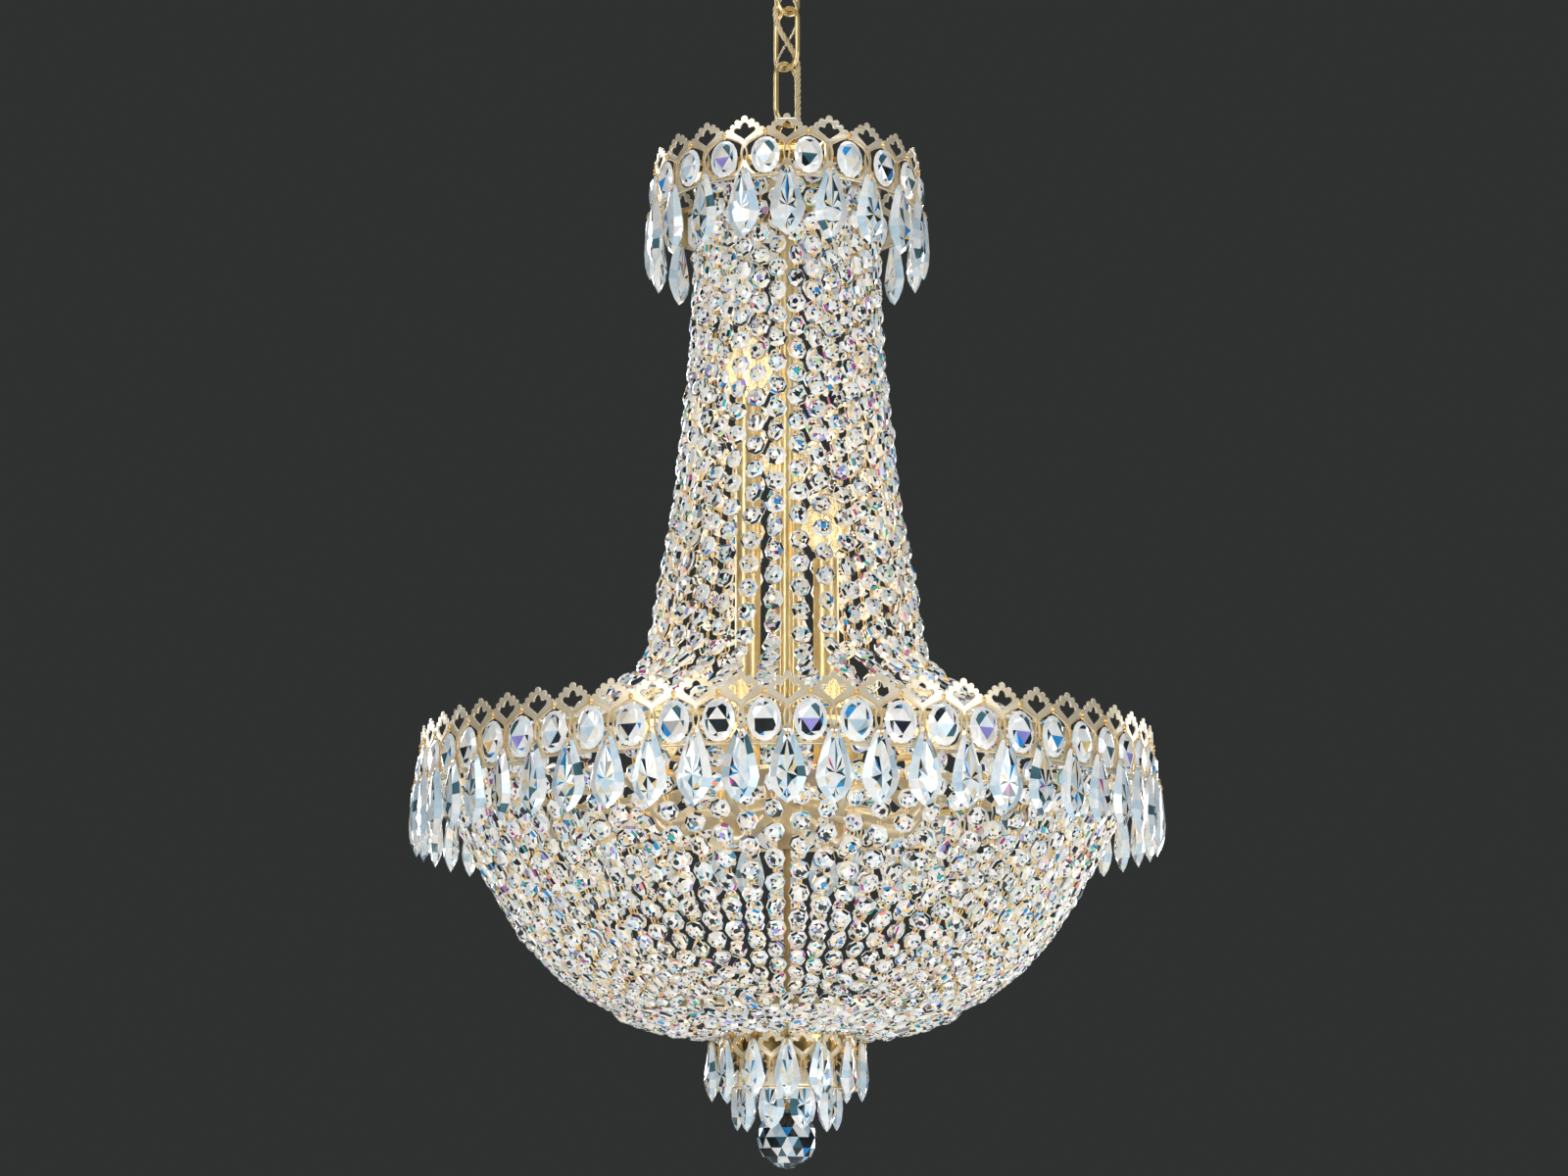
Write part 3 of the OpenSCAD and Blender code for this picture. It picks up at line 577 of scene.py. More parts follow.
def ball_shape(radius):
    """Faceted ball, rows of triangles, drawn out to a point below."""
    count = 16
    rows = [(0.28, 0.96), (0.56, 0.83), (0.79, 0.61), (0.94, 0.34), (1.0, 0.03), (0.94, -0.32), (0.79, -0.60),
            (0.56, -0.80), (0.28, -0.93)]
    verts = [(0, 0, radius)]
    for i, (r, z) in enumerate(rows):
        for k in range(count):
            a = 2 * math.pi * (k + 0.5 * (i % 2)) / count
            verts.append((radius * r * math.cos(a), radius * r * math.sin(a), radius * z))
    verts.append((0, 0, -radius * 0.985))
    last = len(verts) - 1
    faces = [(0, 1 + k, 1 + (k + 1) % count) for k in range(count)]
    for i in range(len(rows) - 1):
        a, b = 1 + i * count, 1 + (i + 1) * count
        for k in range(count):
            n = (k + 1) % count
            if i % 2 == 0:
                faces += [(a + k, b + k, a + n), (a + n, b + k, b + n)]
            else:
                faces += [(a + k, b + k, b + n), (a + k, b + n, a + n)]
    bottom = 1 + (len(rows) - 1) * count
    faces += [(bottom + (k + 1) % count, bottom + k, last) for k in range(count)]
    return np.array(verts), faces


# ---------- strands of beads

NECK, BOWL, BOTTOM = 32, 80, 32
HOOP_BEADS = 56
FINE = 1 * MM


def node_points(name):
    """Vertices of a CAD node."""
    mesh = NODES[name].data
    flat = np.empty(len(mesh.vertices) * 3)
    mesh.vertices.foreach_get("co", flat)
    return flat.reshape(-1, 3)


def strand_line(nodes, angle, half_width, thick, by_height=True):
    """Middle line, as (radius, height), of the CAD ribbon at one angle in these nodes.

    Its outline shows on the ribbon's side face. Each pair of outline points that stands one thickness
    apart gives one point of the middle line.
    """
    out = []
    c, s = math.cos(angle), math.sin(angle)
    for name in nodes:
        p = node_points(name)
        along, across = p[:, 0] * c + p[:, 1] * s, -p[:, 0] * s + p[:, 1] * c
        edge = (along > 0) & (np.abs(across - half_width) < 3e-4)
        outline = np.unique(np.round(np.stack([along[edge], p[edge, 2]], axis=1), 5), axis=0)
        for i, a in enumerate(outline):
            miss = np.abs(np.linalg.norm(outline - a, axis=1) - thick)
            j = int(np.argmin(miss))
            if miss[j] < 0.12 * thick and j > i:
                out.append((a + outline[j]) / 2)
    line = np.array(out)
    line = line[np.argsort(-line[:, 1] if by_height else -line[:, 0])]
    keep = [0] + [i for i in range(1, len(line)) if np.linalg.norm(line[i] - line[i - 1]) > 0.006]
    return line[keep]


def strand_place(angle, point, way, roll=0.0, tilt=0.0):
    """Matrix for a shape that faces out of a strand at a point (radius, height), +Z up along the strand."""
    c, s = math.cos(angle), math.sin(angle)
    out = Vector((-way[1] * c, -way[1] * s, way[0]))
    side = Vector((-s, c, 0))
    place = Matrix((out, side, out.cross(side))).transposed().to_4x4()
    place.translation = (point[0] * c, point[0] * s, point[1])
    return place @ Matrix.Rotation(roll, 4, "Z") @ Matrix.Rotation(tilt, 4, "X")


def pin_link(width, length, wire):
    """Oval wire ring that joins two beads, long along Z."""
    points = [(0, width / 2 * math.cos(a), length / 2 * math.sin(a)) for a in np.arange(10) * math.pi / 5]
    return tube(points, wire, sides=5, closed=True)


def bead_strands(name, nodes, line, count, radius, pitch, m):
    """Strands of octagon beads along a line, every second one half a pitch lower.

    radius and pitch are functions of the distance from the axis.
    """
    beads, pins = Soup(), Soup()
    fine = resample(line, FINE)
    for k in range(count):
        angle = 2 * math.pi * (k + 0.5) / count
        at = pitch(fine[0][0]) * (0.55 if k % 2 else 0.05) / FINE
        stops = []
        while at < len(fine) - 1:
            stops.append(int(at))
            at += pitch(fine[int(at)][0]) / FINE
        for n, i in enumerate(stops):
            way = fine[min(i + 3, len(fine) - 1)] - fine[max(i - 3, 0)]
            way /= np.linalg.norm(way)
            size = radius(fine[i][0])
            roll, tilt = rng.normal(0, 0.30), rng.normal(0, 0.05)
            beads.add(*bead_shape(size, size * 1.08), strand_place(angle, fine[i], way, roll, tilt))
            if n + 1 < len(stops):
                j = (i + stops[n + 1]) // 2
                gap = (stops[n + 1] - i) * FINE - 2 * size
                place = strand_place(angle, fine[j], way, math.pi / 2 * (n % 2) + rng.normal(0, 0.2))
                pins.add(*pin_link(2.7 * MM, gap + 3.4 * MM, 0.52 * MM), place)
    made = beads.build(name, "fixture", "crystal_beads", m["beads"], facets=True)
    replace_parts(made, *nodes)
    pins.build(name + "_pins", "fixture", "polished_brass", m["pins"], smooth=True)


def bowl_bead(r):
    """Radius of a bowl bead, smaller towards the axis, where the strands crowd."""
    return min(6.7 * MM, 0.038 * r)


def bottom_bead(r):
    return min(6.6 * MM, 0.088 * r)


def make_strands(m):
    neck_nodes = ["neck_strands", "shoulder_strands"]
    neck = smooth_line(strand_line(neck_nodes, math.pi / NECK, 5 * MM, 7 * MM), 8)
    bead_strands("neck_beads", neck_nodes, neck, NECK, lambda r: 7.0 * MM, lambda r: 17.2 * MM, m)
    bowl = smooth_line(strand_line(["bowl_strands"], math.pi / BOWL, 4.2 * MM, 7 * MM), 8)
    bead_strands("bowl_beads", ["bowl_strands"], bowl, BOWL, bowl_bead,
                 lambda r: 2 * bowl_bead(r) + 3.0 * MM, m)
    low = smooth_line(strand_line(["bottom_strands"], math.pi / BOTTOM, 4.5 * MM, 5 * MM, by_height=False), 8)
    bead_strands("bottom_beads", ["bottom_strands"], low, BOTTOM, bottom_bead,
                 lambda r: 2 * bottom_bead(r) + 2.4 * MM, m)
    extra = Soup()
    for k in range(BOTTOM):
        angle = 2 * math.pi * k / BOTTOM
        for radius, size in ((0.1085, 0.0058), (0.0955, 0.0050), (0.084, 0.0040)):
            z = float(np.interp(-radius, -low[:, 0], low[:, 1]))
            place = strand_place(angle, (radius, z), (-1.0, -0.12), rng.normal(0, 0.3))
            extra.add(*bead_shape(size, size), place)
    hoop = (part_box("middle_hoop")[1][0] - 1 * MM, middle_z("middle_hoop") + 1 * MM)
    for k in range(HOOP_BEADS):
        place = strand_place(2 * math.pi * k / HOOP_BEADS, hoop, (-0.86, -0.5), rng.normal(0, 0.3))
        extra.add(*bead_shape(5.6 * MM, 5.8 * MM), place)
    extra.build("hoop_beads", "fixture", "crystal_beads", m["beads"], facets=True)


# ---------- filigree crowns

def arc(centre, radius, start, end, count):
    """Points on a circle between two angles in degrees."""
    steps = [math.radians(start + (end - start) * i / (count - 1)) for i in range(count)]
    return [(centre[0] + radius * math.cos(a), centre[1] + radius * math.sin(a)) for a in steps]


def mirrored(half):
    """A loop from its right half, listed from the bottom up."""
    return half + [(-x, y) for x, y in reversed(half) if x > 1e-6]


def merlon_loops(pitch):
    """Outline and cut-outs of one merlon, in mm, with half an arch on each side."""
    edge = pitch / 2 + 0.12
    half = [(0, 0), (edge, 0), (edge, 1.2)] + arch_points(pitch, 0.0)[1:-1] + [(edge, 31.0), (edge, 32.8)]
    lobes = (((edge - 2.4, 34.4), 1.9, -60, 110), ((8.6, 37.4), 2.0, -35, 140), ((5.3, 40.4), 2.0, -30, 145),
             ((0, 42.6), 2.4, -20, 90))
    for centre, radius, start, end in lobes:
        half += arc(centre, radius, start, end, 8)
    tulip = [(0, 27.6), (2.2, 29.4), (4.6, 31.2), (7.0, 33.0), (7.9, 34.6), (7.0, 36.2), (5.2, 36.4),
             (3.6, 35.8), (2.9, 36.2), (2.7, 37.6), (1.8, 39.2), (0, 40.2)]
    slot = [(0, 11.8), (0.8, 13.6), (1.25, 16.0), (1.25, 18.4), (0.8, 20.6), (0, 22.4)]
    return [mirrored(half), mirrored(tulip), mirrored(slot)]


def arch_points(pitch, inset):
    """Left side of one pointed arch window, in mm, from the bottom up; inset moves it into the metal."""
    half = pitch / 2
    side = smooth_line([(half, 1.9), (half - 5.0, 2.5), (half - 9.0, 5.2), (3.0, 9.4), (1.9, 12.6), (2.5, 16.6),
                        (2.2, 20.0), (1.5, 22.6), (2.8, 24.6), (6.0, 26.6), (9.4, 28.4), (half - 1.6, 29.9),
                        (half, 30.3)], 3)
    return [(x - inset * (0 < x < half - 0.5), y + inset * (0.8 if y > 23 else -0.8 if y < 8 else 0))
            for x, y in side]


def cut_plate(loops, thick, bevel):
    """Flat plate with bevelled edges from an outline and its holes."""
    data = bpy.data.curves.new("plate", "CURVE")
    data.dimensions = "2D"
    data.fill_mode = "BOTH"
    data.extrude = thick / 2 - bevel
    data.bevel_depth = bevel
    data.bevel_resolution = 1
    data.offset = -bevel
    for loop in loops:
        spline = data.splines.new("POLY")
        spline.points.add(len(loop) - 1)
        for point, (x, y) in zip(spline.points, loop):
            point.co = (x, y, 0, 1)
        spline.use_cyclic_u = True
    holder = bpy.data.objects.new("plate", data)
    mesh = bpy.data.meshes.new_from_object(holder)
    verts = np.array([tuple(v.co) for v in mesh.vertices])
    faces = [tuple(p.vertices) for p in mesh.polygons]
    bpy.data.objects.remove(holder)
    bpy.data.curves.remove(data)
    bpy.data.meshes.remove(mesh)
    return verts, faces


def make_filigree(label, crown, m):
    """Filigree strip: one merlon cut from plate and bent round the ring again and again, over a rail."""
    ring, rail_z, count, size = crown.ring, crown.rail_z, crown.count, crown.size
    pitch = 2 * ring * math.tan(math.pi / count) / size / MM
    plate, faces = cut_plate(merlon_loops(pitch), 1.2 / size, 0.2)
    radius, height = ring + 0.7 * MM + plate[:, 2] * size * MM, rail_z + plate[:, 1] * size * MM
    strip = Soup()
    for k in range(count):
        angle = 2 * math.pi * k / count + plate[:, 0] * (2 * math.pi / count) / pitch
        strip.add(np.stack([radius * np.cos(angle), radius * np.sin(angle), height], axis=1), faces)
    section = [(-0.0001, 0.0), (0.0012, 0.0), (0.0018, 0.0003), (0.0019, 0.0007), (0.0018, 0.0011),
               (0.0012, 0.0014), (-0.0001, 0.0014)]
    strip.add(*lathe([(ring + r, rail_z + z * size) for r, z in section], 4 * count))
    stud = Matrix.Translation((ring + 1.7 * MM, 0, rail_z + 0.7 * MM * size))
    for k in range(4 * count):
        strip.add(*button(0.55 * MM, 0.5 * MM), turned(2 * math.pi * (k + 0.5) / (4 * count)) @ stud)
    rim = [(x - pitch / 2, y) for x, y in arch_points(pitch, 0.45)]
    rim += [(-x, y) for x, y in rim[-2:0:-1]]
    rim = [(ring + 1.4 * MM, x * size * MM, rail_z + y * size * MM) for x, y in rim]
    edge = tube(rim, 0.34 * MM, 5, closed=True)
    wires = Soup()
    for k in range(count):
        wires.add(*edge, turned(2 * math.pi * (k + 0.5) / count))
    wires.build(label + "_filigree_edge_wire", "fixture", "filigree_metal", m["pins"], smooth=True)
    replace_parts(strip.build(label + "_filigree", "fixture", "filigree_metal", m["filigree"]), crown.node)


def button(radius, depth):
    """Small round dome facing +X."""
    verts, faces = [(depth, 0, 0)], []
    rows = [(0.75, 0.62), (0.25, 0.93), (0.0, 1.0)]
    turns = np.arange(8) * math.pi / 4
    for x, r in rows:
        verts += [(depth * x, radius * r * math.cos(a), radius * r * math.sin(a)) for a in turns]
    for k in range(8):
        n = (k + 1) % 8
        faces.append((0, 1 + k, 1 + n))
        faces += [(1 + 8 * i + k, 9 + 8 * i + k, 9 + 8 * i + n, 1 + 8 * i + n) for i in range(2)]
    return np.array(verts), faces


class Crown:
    """Measures of one crown: its strip's box, its number of merlons and its size beside the larger crowns."""

    def __init__(self, node, count, size=1.0):
        low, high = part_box(node)
        self.count, self.size, self.node = count, size, node
        self.rail_z = low[2]
        self.ring = high[0] - 2 * MM


def make_crown_drops(label, crown, node, drop_size, out, shift, m):
    """Drops of one crown and the pins they hang on; shift places them between merlons. Returns the pins."""
    shape, edge, depth = drop_shape(*drop_size), crown.ring + 1.2 * MM, drop_size[2]
    verts, faces, ranges = shape
    drops, pins = Soup(), Soup()
    top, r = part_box(node)[1][2], crown.ring + out
    hole = top - 3 * MM
    loop = [(r + 2.2 * MM * math.cos(t), 0, hole + 1.2 * MM + 2.6 * MM * math.sin(t))
            for t in np.arange(12) * math.pi / 6]
    for k in range(crown.count):
        place = turned(2 * math.pi * (k + shift) / crown.count)
        turn = Matrix.Rotation(rng.normal(0, 0.07), 4, "Z")
        drops.add(verts, faces, place @ Matrix.Translation((r, 0, top)) @ turn, ranges)
        pins.add(*tube([(edge, 0, hole), (r + depth * 0.3, 0, hole)], 0.5 * MM, 6), place)
        pins.add(*button(1.3 * MM, 0.9 * MM), place @ Matrix.Translation((r + depth * 0.26, 0, hole)))
        pins.add(*tube(loop, 0.4 * MM, 5, closed=True), place)
    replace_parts(drops.build(label + "_drops_cut", "fixture", "cut_crystal", m["drops"], facets=True), node)
    return pins


def make_ovals(label, crown, node, out, m):
    """Faceted ovals in the arches between the merlons."""
    verts, faces, ranges = oval_shape(20.5 * MM, 26.5 * MM, 6.4 * MM)
    ovals = Soup()
    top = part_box(node)[0][2] + 26 * MM
    for k in range(crown.count):
        place = turned(2 * math.pi * (k + 0.5) / crown.count) @ Matrix.Translation((crown.ring + out, 0, top))
        ovals.add(verts, faces, place @ Matrix.Rotation(rng.normal(0, 0.05), 4, "Z"), ranges)
    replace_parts(ovals.build(label + "_ovals_cut", "fixture", "cut_crystal", m["ovals"], facets=True), node)


def add_studs(crown, pins):
    """Two small studs above each arch."""
    for k in range(crown.count):
        a = 2 * math.pi * (k + 0.5) / crown.count
        for height, radius in ((32.9, 1.7 * MM), (30.4, 1.3 * MM)):
            at = (crown.ring + 1.3 * MM, 0, crown.rail_z + height * crown.size * MM)
            pins.add(*button(radius, 1.4 * MM), turned(a) @ Matrix.Translation(at))


# ---------- what hangs and swings

def make_hanging_drops(m):
    """Ten long drops under the dish, each with a wire bail."""
    width, length, thick = 18.6 * MM, 40.2 * MM, 8 * MM
    verts, faces, ranges = drop_shape(width, length, thick)
    for k in range(10):
        node, body = "lower_drop_%d" % (k + 1), "drop_%d" % (k + 1)
        place = turned(2 * math.pi * k / 10) @ Matrix.Translation((33 * MM, 0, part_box(node)[0][2] + length))
        glass, wire = Soup(), Soup()
        glass.add(verts, faces, place, ranges)
        made = glass.build("hanging_drop_%d" % (k + 1), body, "cut_crystal", m["drops"], facets=True)
        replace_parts(made, node)
        bail = [(x * 0.82, y, z) for x, y, z in ring_points(4.2 * MM, 24)]
        wire.add(*tube(bail, 0.55 * MM, 8, closed=True), place @ Matrix.Translation((0, 0, 1.2 * MM)))
        wire.build("hanging_bail_%d" % (k + 1), body, "polished_brass", m["pins"], smooth=True)


def make_ball(m):
    """Faceted ball with its brass cap and bail."""
    low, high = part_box("crystal_ball")
    radius = 20 * MM
    glass, brass = Soup(), Soup()
    glass.add(*ball_shape(radius), Matrix.Translation((0, 0, low[2] + radius)))
    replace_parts(glass.build("ball_cut", "ball", "cut_crystal", m["ball"], facets=True), "crystal_ball")
    neck = low[2] + 2 * radius
    cap = [(0.0, -2.2), (3.9, -1.6), (4.3, -0.9), (3.9, -0.2), (3.0, 0.5), (2.0, 1.0), (1.5, 1.8), (1.3, 3.6),
           (0.0, 4.4)]
    brass.add(*lathe([(r * MM, neck + z * MM) for r, z in cap], 24, closed=False))
    bail = Matrix.Translation((0, 0, high[2] - 6.8 * MM))
    brass.add(*tube(ring_points(6 * MM, 32), 0.8 * MM, 10, closed=True), bail)
    brass.build("ball_cap", "ball", "polished_brass", m["brass"], smooth=True)


# ---------- chain, lamp cord and ground wire

def make_chain(m):
    """Three oval wire links, each with a small weld bulge on one side, turned a quarter from one another."""
    radius, straight = 10.75 * MM, 25 * MM
    path = []
    for side in (1, -1):
        for a in [math.pi * i / 20 for i in range(21)]:
            path.append((side * radius * math.cos(a), 0, side * (straight / 2 + radius * math.sin(a))))
        path += [(-side * radius, 0, side * straight * (0.5 - t / 8)) for t in range(1, 8)]
    wire = []
    for x, _, z in path:
        bulge = 0.14 * math.exp(-((z - 1.0 * MM) / (1.4 * MM)) ** 2) if x > 10.5 * MM else 0.0
        wire.append(1.75 * MM * (1 + bulge))
    for k in range(3):
        node = "chain_link_%d" % (k + 1)
        place = Matrix.Translation((0, 0, middle_z(node))) @ turned(math.radians(-45 if k % 2 else 45))
        link = Soup()
        link.add(*tube(path, wire, 16, closed=True), place)
        body = "link_%d" % (k + 1)
        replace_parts(link.build(body + "_wire", body, "polished_brass", m["chain"], smooth=True), node)


def weave(z, top, pitch):
    """Which side of the links the cord is on at a height, from 1 to -1 and back over two links."""
    return math.cos(math.pi * max(0.0, min(2.0, (top - z) / pitch)))


def twisted(heights, sway, depth, strands, offset, wire, lay, hinge, pitch):
    """Cord of several strands laid up round one another, swaying from side to side through the links."""
    step = 1e-4
    soup = Soup()
    for n in range(strands):
        points = []
        for z in heights:
            x = sway * weave(z, hinge, pitch)
            slope = (sway * weave(z - step, hinge, pitch) - x) / step
            across = Vector((1, 0, slope)).normalized()
            a = 2 * math.pi * (z / lay + n / strands)
            out = math.cos(a) * across + math.sin(a) * Vector((0, 1, 0))
            points.append(Vector((x, depth, z)) + offset * out)
        soup.add(*tube(points, wire, 8))
    return soup


def make_cords(m):
    """Lamp cord and bare ground wire, from the canopy's collar to the cap, in one piece for each joint."""
    names = ["canopy_to_chain", "chain_upper", "chain_lower", "chain_to_fixture"]
    first, second = (JOINTS[n]["pos_m"][2] for n in names[:2])
    # sway, depth, strands, strand offset, strand radius, lay (mm)
    lamp_cord = (8, -0.8, 3, 1.1, 1.0, 13.0)
    ground_wire = (-8, 2.8, 2, 0.48, 0.46, 6.0)
    for k, name in enumerate(names):
        node, joint = "lamp_cord_%d" % (k + 1), JOINTS[name]
        low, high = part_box(node)
        heights = np.linspace(high[2], low[2], int((high[2] - low[2]) / (0.9 * MM)))
        for label, shape, material in (("lamp_cord_twist_%d", lamp_cord, m["cord"]),
                                       ("ground_wire_twist_%d", ground_wire, m["ground"])):
            sway, depth, strands, offset, wire, lay = shape
            soup = twisted(heights, sway * MM, depth * MM, strands, offset * MM, wire * MM, lay * MM, first,
                           first - second)
            made = soup.build(label % (k + 1), None, "gold_cord", material, smooth=True)
            if shape is lamp_cord:
                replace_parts(made, node)
            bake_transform(made)


# ---------- turned brass, candles and bulbs

def turned_piece(name, node, body, profile, segments, material, places=(Matrix(),)):
    """Spun brass piece from a profile of (radius in mm, height in metres), in place of its CAD node."""
    soup = Soup()
    shape = lathe([(r * MM, z) for r, z in profile], segments)
    for place in places:
        soup.add(*shape, place)
    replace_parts(soup.build(name, body, "polished_brass", material, smooth=True), node)


def make_canopy(m):
    out = [(63.5, 0), (63.5, -3.0), (63.1, -4.2), (61.9, -5.0), (60.9, -5.3), (60.5, -6.0), (59.0, -7.6),
           (54.5, -10.2), (48, -13.2), (40, -16.4), (33, -19.2), (28.2, -21.2), (26.4, -22.0), (26.2, -22.9),
           (24.8, -23.6), (23.6, -23.8), (22.6, -24.6), (19.4, -26.8), (17.0, -28.8), (15.6, -29.7),
           (14.4, -30), (5.2, -30)]
    inside = [(5.2, -28.5), (14, -28.5), (23, -21.5), (39, -15.5), (55.5, -7.5), (62, -4), (62, 0)]
    profile = [(r, z * MM) for r, z in out + inside]
    turned_piece("canopy_spun", "ceiling_canopy", "ceiling", profile, 128, m["brass"])


def make_cap(m):
    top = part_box("top_cap")[1][2]
    out = [(3.2, 0), (12.6, 0), (13.6, -0.5), (14.2, -1.4), (15.6, -1.9), (18.6, -3.1), (20.4, -4.6),
           (21.6, -6.6), (22.6, -8.8), (23.2, -10.2), (24, -10.9), (24.2, -12.2), (24, -13.4), (23.2, -14),
           (4.75, -14), (4.75, -8), (3.2, -8)]
    turned_piece("cap_spun", "top_cap", "fixture", [(r, top + z * MM) for r, z in out], 64, m["brass"])


def candle_places():
    """Where the eight candles stand, from the outermost edge of the cups."""
    radius = (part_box("candle_cups")[1][0] - 20 * MM) / math.cos(math.pi / 8)
    return [turned(2 * math.pi * (k + 0.5) / 8) @ Matrix.Translation((radius, 0, 0)) for k in range(8)]


def bulb_profile(base):
    """Thin glass of a candle bulb: outside, then back down inside."""
    outer = smooth_line([(6.0, 0), (6.4, 7), (11.2, 13.5), (16.6, 21.5), (17.4, 27), (15.2, 35), (10.2, 43),
                         (4.6, 50), (1.6, 54.2), (0.0, 55.0)], 4)
    inner = [(max(r - 0.7, 0.0), z if z < 50 else z - 1.2) for r, z in outer[::-1]]
    return [(r * MM, base + z * MM) for r, z in list(outer) + inner]


def filament(base):
    """Wire loop between two posts inside a bulb."""
    soup = Soup()
    coil = []
    for t in np.linspace(0, 19, 96):
        arch, wind = t / 19 * math.pi, t * 2.2
        across = 4.2 * math.sin(arch - math.pi / 2) + 0.9 * math.sin(wind)
        coil.append((0.9 * math.cos(wind) * MM, across * MM, base + (14 + 20 * math.sin(arch)) * MM))
    soup.add(*tube(coil, 0.45 * MM, 5))
    for side in (-1, 1):
        post = [(0, 4.2 * side * MM, base + 14 * MM), (0, 2.2 * side * MM, base + 1 * MM)]
        soup.add(*tube(post, 0.35 * MM, 5))
    return np.vstack(soup.verts), soup.faces


def neck_places():
    """Place and base height of the three lamps in the neck."""
    radius, points, out = 31 * MM, node_points("neck_bulbs"), []
    for a in map(math.radians, (210, 330, 90)):
        centre = radius * np.array([math.cos(a), math.sin(a)])
        near = np.linalg.norm(points[:, :2] - centre, axis=1) < 18 * MM
        out.append((turned(a) @ Matrix.Translation((radius, 0, 0)), points[near, 2].min()))
    return out


def make_bulbs(m):
    bowl = [(place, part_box("candle_bulbs")[0][2]) for place in candle_places()]
    for label, places in (("neck", neck_places()), ("candle", bowl)):
        glass, wires = Soup(), Soup()
        for n, (place, base) in enumerate(places):
            warm_lamp("%s_light_%d" % (label, n), place @ Vector((0, 0, base + 28 * MM)))
            glass.add(*lathe(bulb_profile(base), 32, closed=False), place)
            wires.add(*filament(base), place)
        made = glass.build(label + "_bulb_glass", "fixture", "bulb_glass", m["bulb"], smooth=True)
        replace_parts(made, label + "_bulbs")
        wires.build(label + "_bulb_filament", "fixture", "bulb_glass", m["filament"], smooth=True)


def make_cups(m):
    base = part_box("candle_cups")[0][2]
    cup = [(2, 0), (6.0, 0), (7.4, 0.3), (9.6, 1.0), (11.8, 2.2), (13.8, 3.5), (15.6, 5.2), (17.4, 7.2),
           (18.6, 8.9), (19.8, 9.4), (20.0, 10.0), (19.0, 10.0), (17.6, 9.0), (15.4, 7.6), (13.0, 6.6),
           (11.0, 6.0), (2, 6.0)]
    profile = [(r, base + z * MM) for r, z in cup]
    turned_piece("cups_spun", "candle_cups", "fixture", profile, 40, m["arms"], candle_places())


def make_sleeves(m):
    """Gold candle covers with wax runs down their sides."""
    bottom, top = (corner[2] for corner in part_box("candle_sleeves"))
    step = (top - bottom - 4 * MM) / 8
    profile = [(9.5 * MM, bottom), (11 * MM, bottom)]
    profile += [(11 * MM, bottom + 2 * MM + step * i) for i in range(9)]
    profile += [(10.8 * MM, top - 0.4 * MM), (10.2 * MM, top), (9.5 * MM, top - 0.6 * MM)]
    soup = Soup()
    for place in candle_places():
        verts, faces = lathe(profile, 40)
        reach = 0.25 + 0.5 * rng.random(8)
        for v in verts:
            if math.hypot(v[0], v[1]) <= 10.5 * MM:
                continue
            a, h = math.atan2(v[1], v[0]), (v[2] - bottom) / (top - bottom)
            run = sum(max(0.0, math.cos(a - 0.8 * i) - 0.86) for i in range(8) if h > reach[i])
            v[:2] *= 1 + 0.5 * run
        soup.add(verts, faces, place)
    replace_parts(soup.build("sleeves_wax", "fixture", "candle_cover", m["cover"], smooth=True), "candle_sleeves")


# ---------- floor and CAD materials

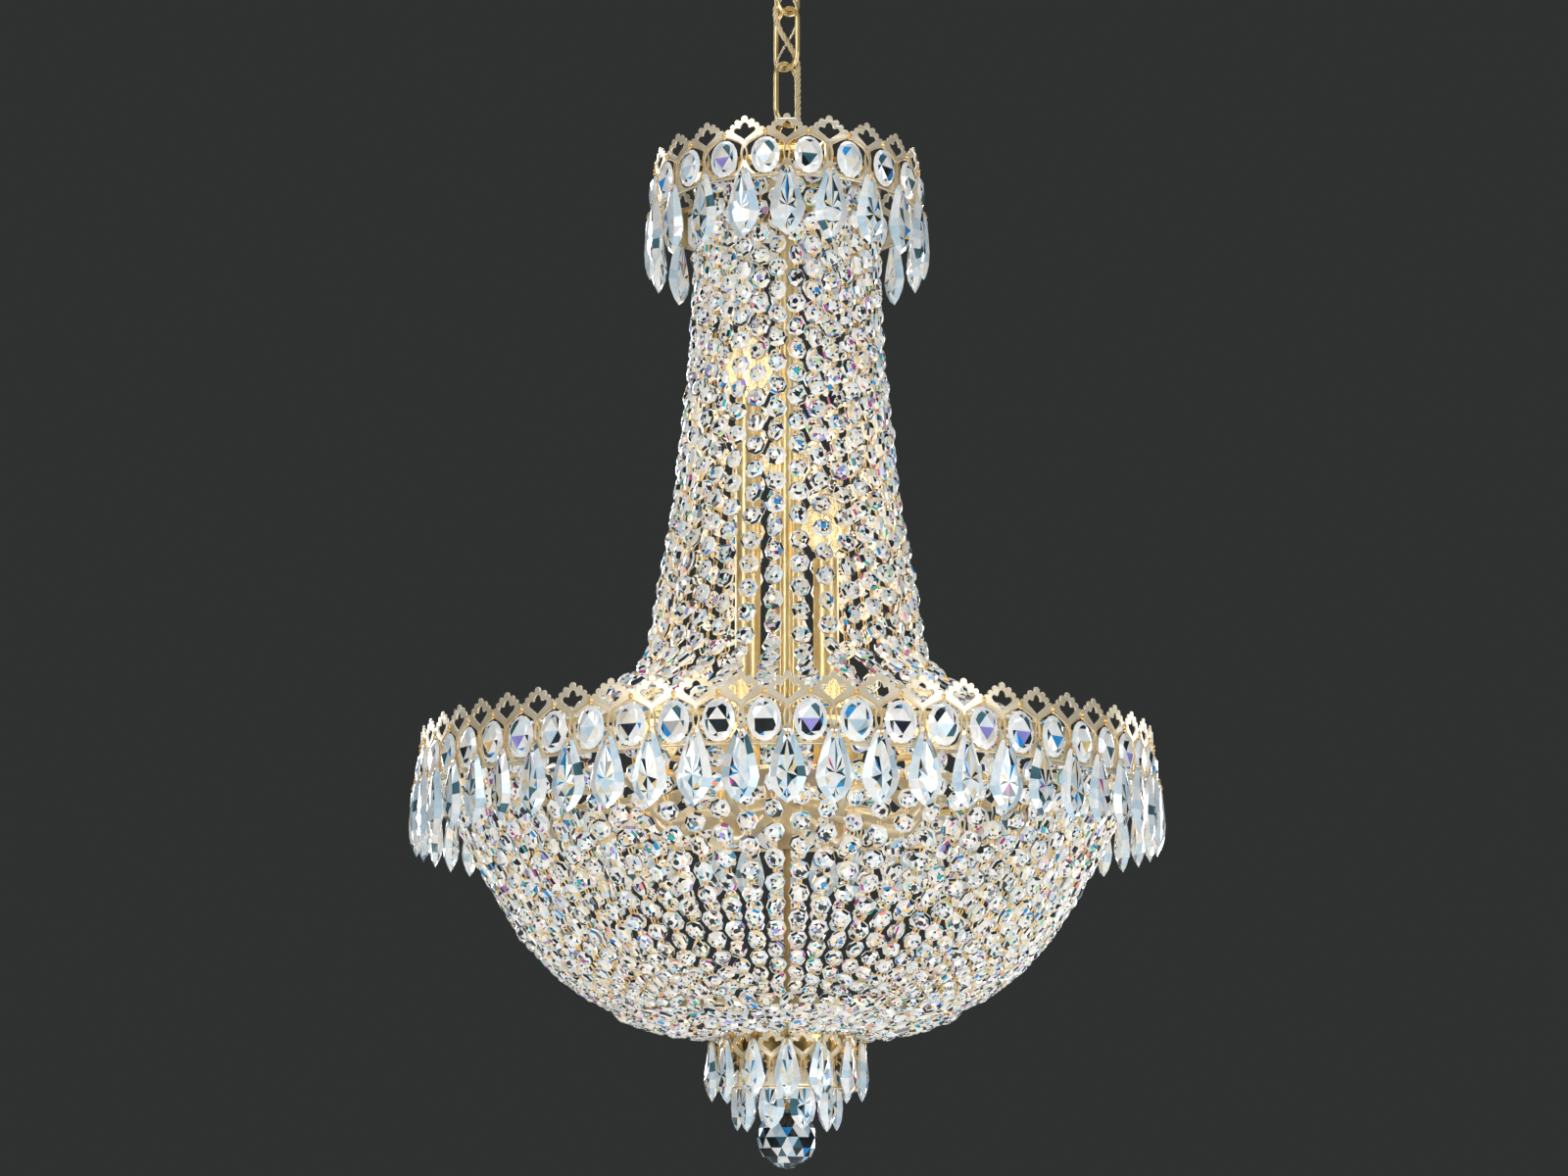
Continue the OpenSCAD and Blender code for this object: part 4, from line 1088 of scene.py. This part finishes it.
def make_floor():
    """Square floor of a few cells, far below the chandelier."""
    side, cells = 5.0, 8
    steps = np.linspace(-side, side, cells + 1)
    verts = [(x, y, FLOOR_Z) for x in steps for y in steps]
    corners = [i * (cells + 1) + j for i in range(cells) for j in range(cells)]
    faces = [(c, c + cells + 1, c + cells + 2, c + 1) for c in corners]
    mesh = bpy.data.meshes.new("floor")
    mesh.from_pydata(verts, [], faces)
    mesh.materials.append(floor_paint())
    floor = bpy.data.objects.new("floor", mesh)
    bpy.context.collection.objects.link(floor)


# CAD nodes that stay as they are, by the material they get
KEPT = {
    "brass": ["canopy_nipple", "canopy_loop", "top_loop", "top_hoop", "bottom_dish", "ball_eye"],
    "inner": ["centre_stem", "neck_tubes", "top_spider", "rim_hoop", "middle_hoop"],
    "arms": ["bowl_rod", "rim_spider", "arm_hub", "lamp_arms"],
    "pins": ["drop_staples"],
    "steel": ["mounting_strap"],
    "wire": ["arm_wires"],
    "socket": ["lamp_sockets", "neck_sockets"],
}


def finish_cad_nodes(m):
    for key, names in KEPT.items():
        for name in names:
            for slot in NODES[name].material_slots:
                slot.material = m[key]


# ---------- the scene

make_camera()
materials = make_materials()
make_cords(materials)
make_chain(materials)
make_lights()
make_world()
make_floor()

crowns = {"top": Crown("top_gallery", 20), "rim": Crown("rim_gallery", 56),
          "low": Crown("bottom_gallery", 14, 0.85)}
for label, crown in crowns.items():
    make_filigree(label, crown, materials)
fixings = {}
for label, node, drop_size, out, shift in (
        ("top", "top_drops", (23.5 * MM, 50 * MM, 8 * MM), 3.8 * MM, 0.0),
        ("rim", "rim_drops", (23 * MM, 45 * MM, 7 * MM), 4.0 * MM, 0.0),
        ("low", "bottom_drops", (17.5 * MM, 38 * MM, 6.6 * MM), 6.5 * MM, 0.5)):
    fixings[label] = make_crown_drops(label, crowns[label], node, drop_size, out, shift, materials)
    if label != "low":
        make_ovals(label, crowns[label], label + "_ovals", {"top": 1.6 * MM, "rim": 1.0 * MM}[label], materials)
    add_studs(crowns[label], fixings[label])
for label, soup in fixings.items():
    made = soup.build(label + "_fixings", "fixture", "polished_brass", materials["pins"], smooth=True)
    if label == "rim":
        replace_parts(made, "drop_pins")
make_strands(materials)
make_hanging_drops(materials)
make_ball(materials)
make_canopy(materials)
make_cap(materials)
make_cups(materials)
make_sleeves(materials)
make_bulbs(materials)
finish_cad_nodes(materials)
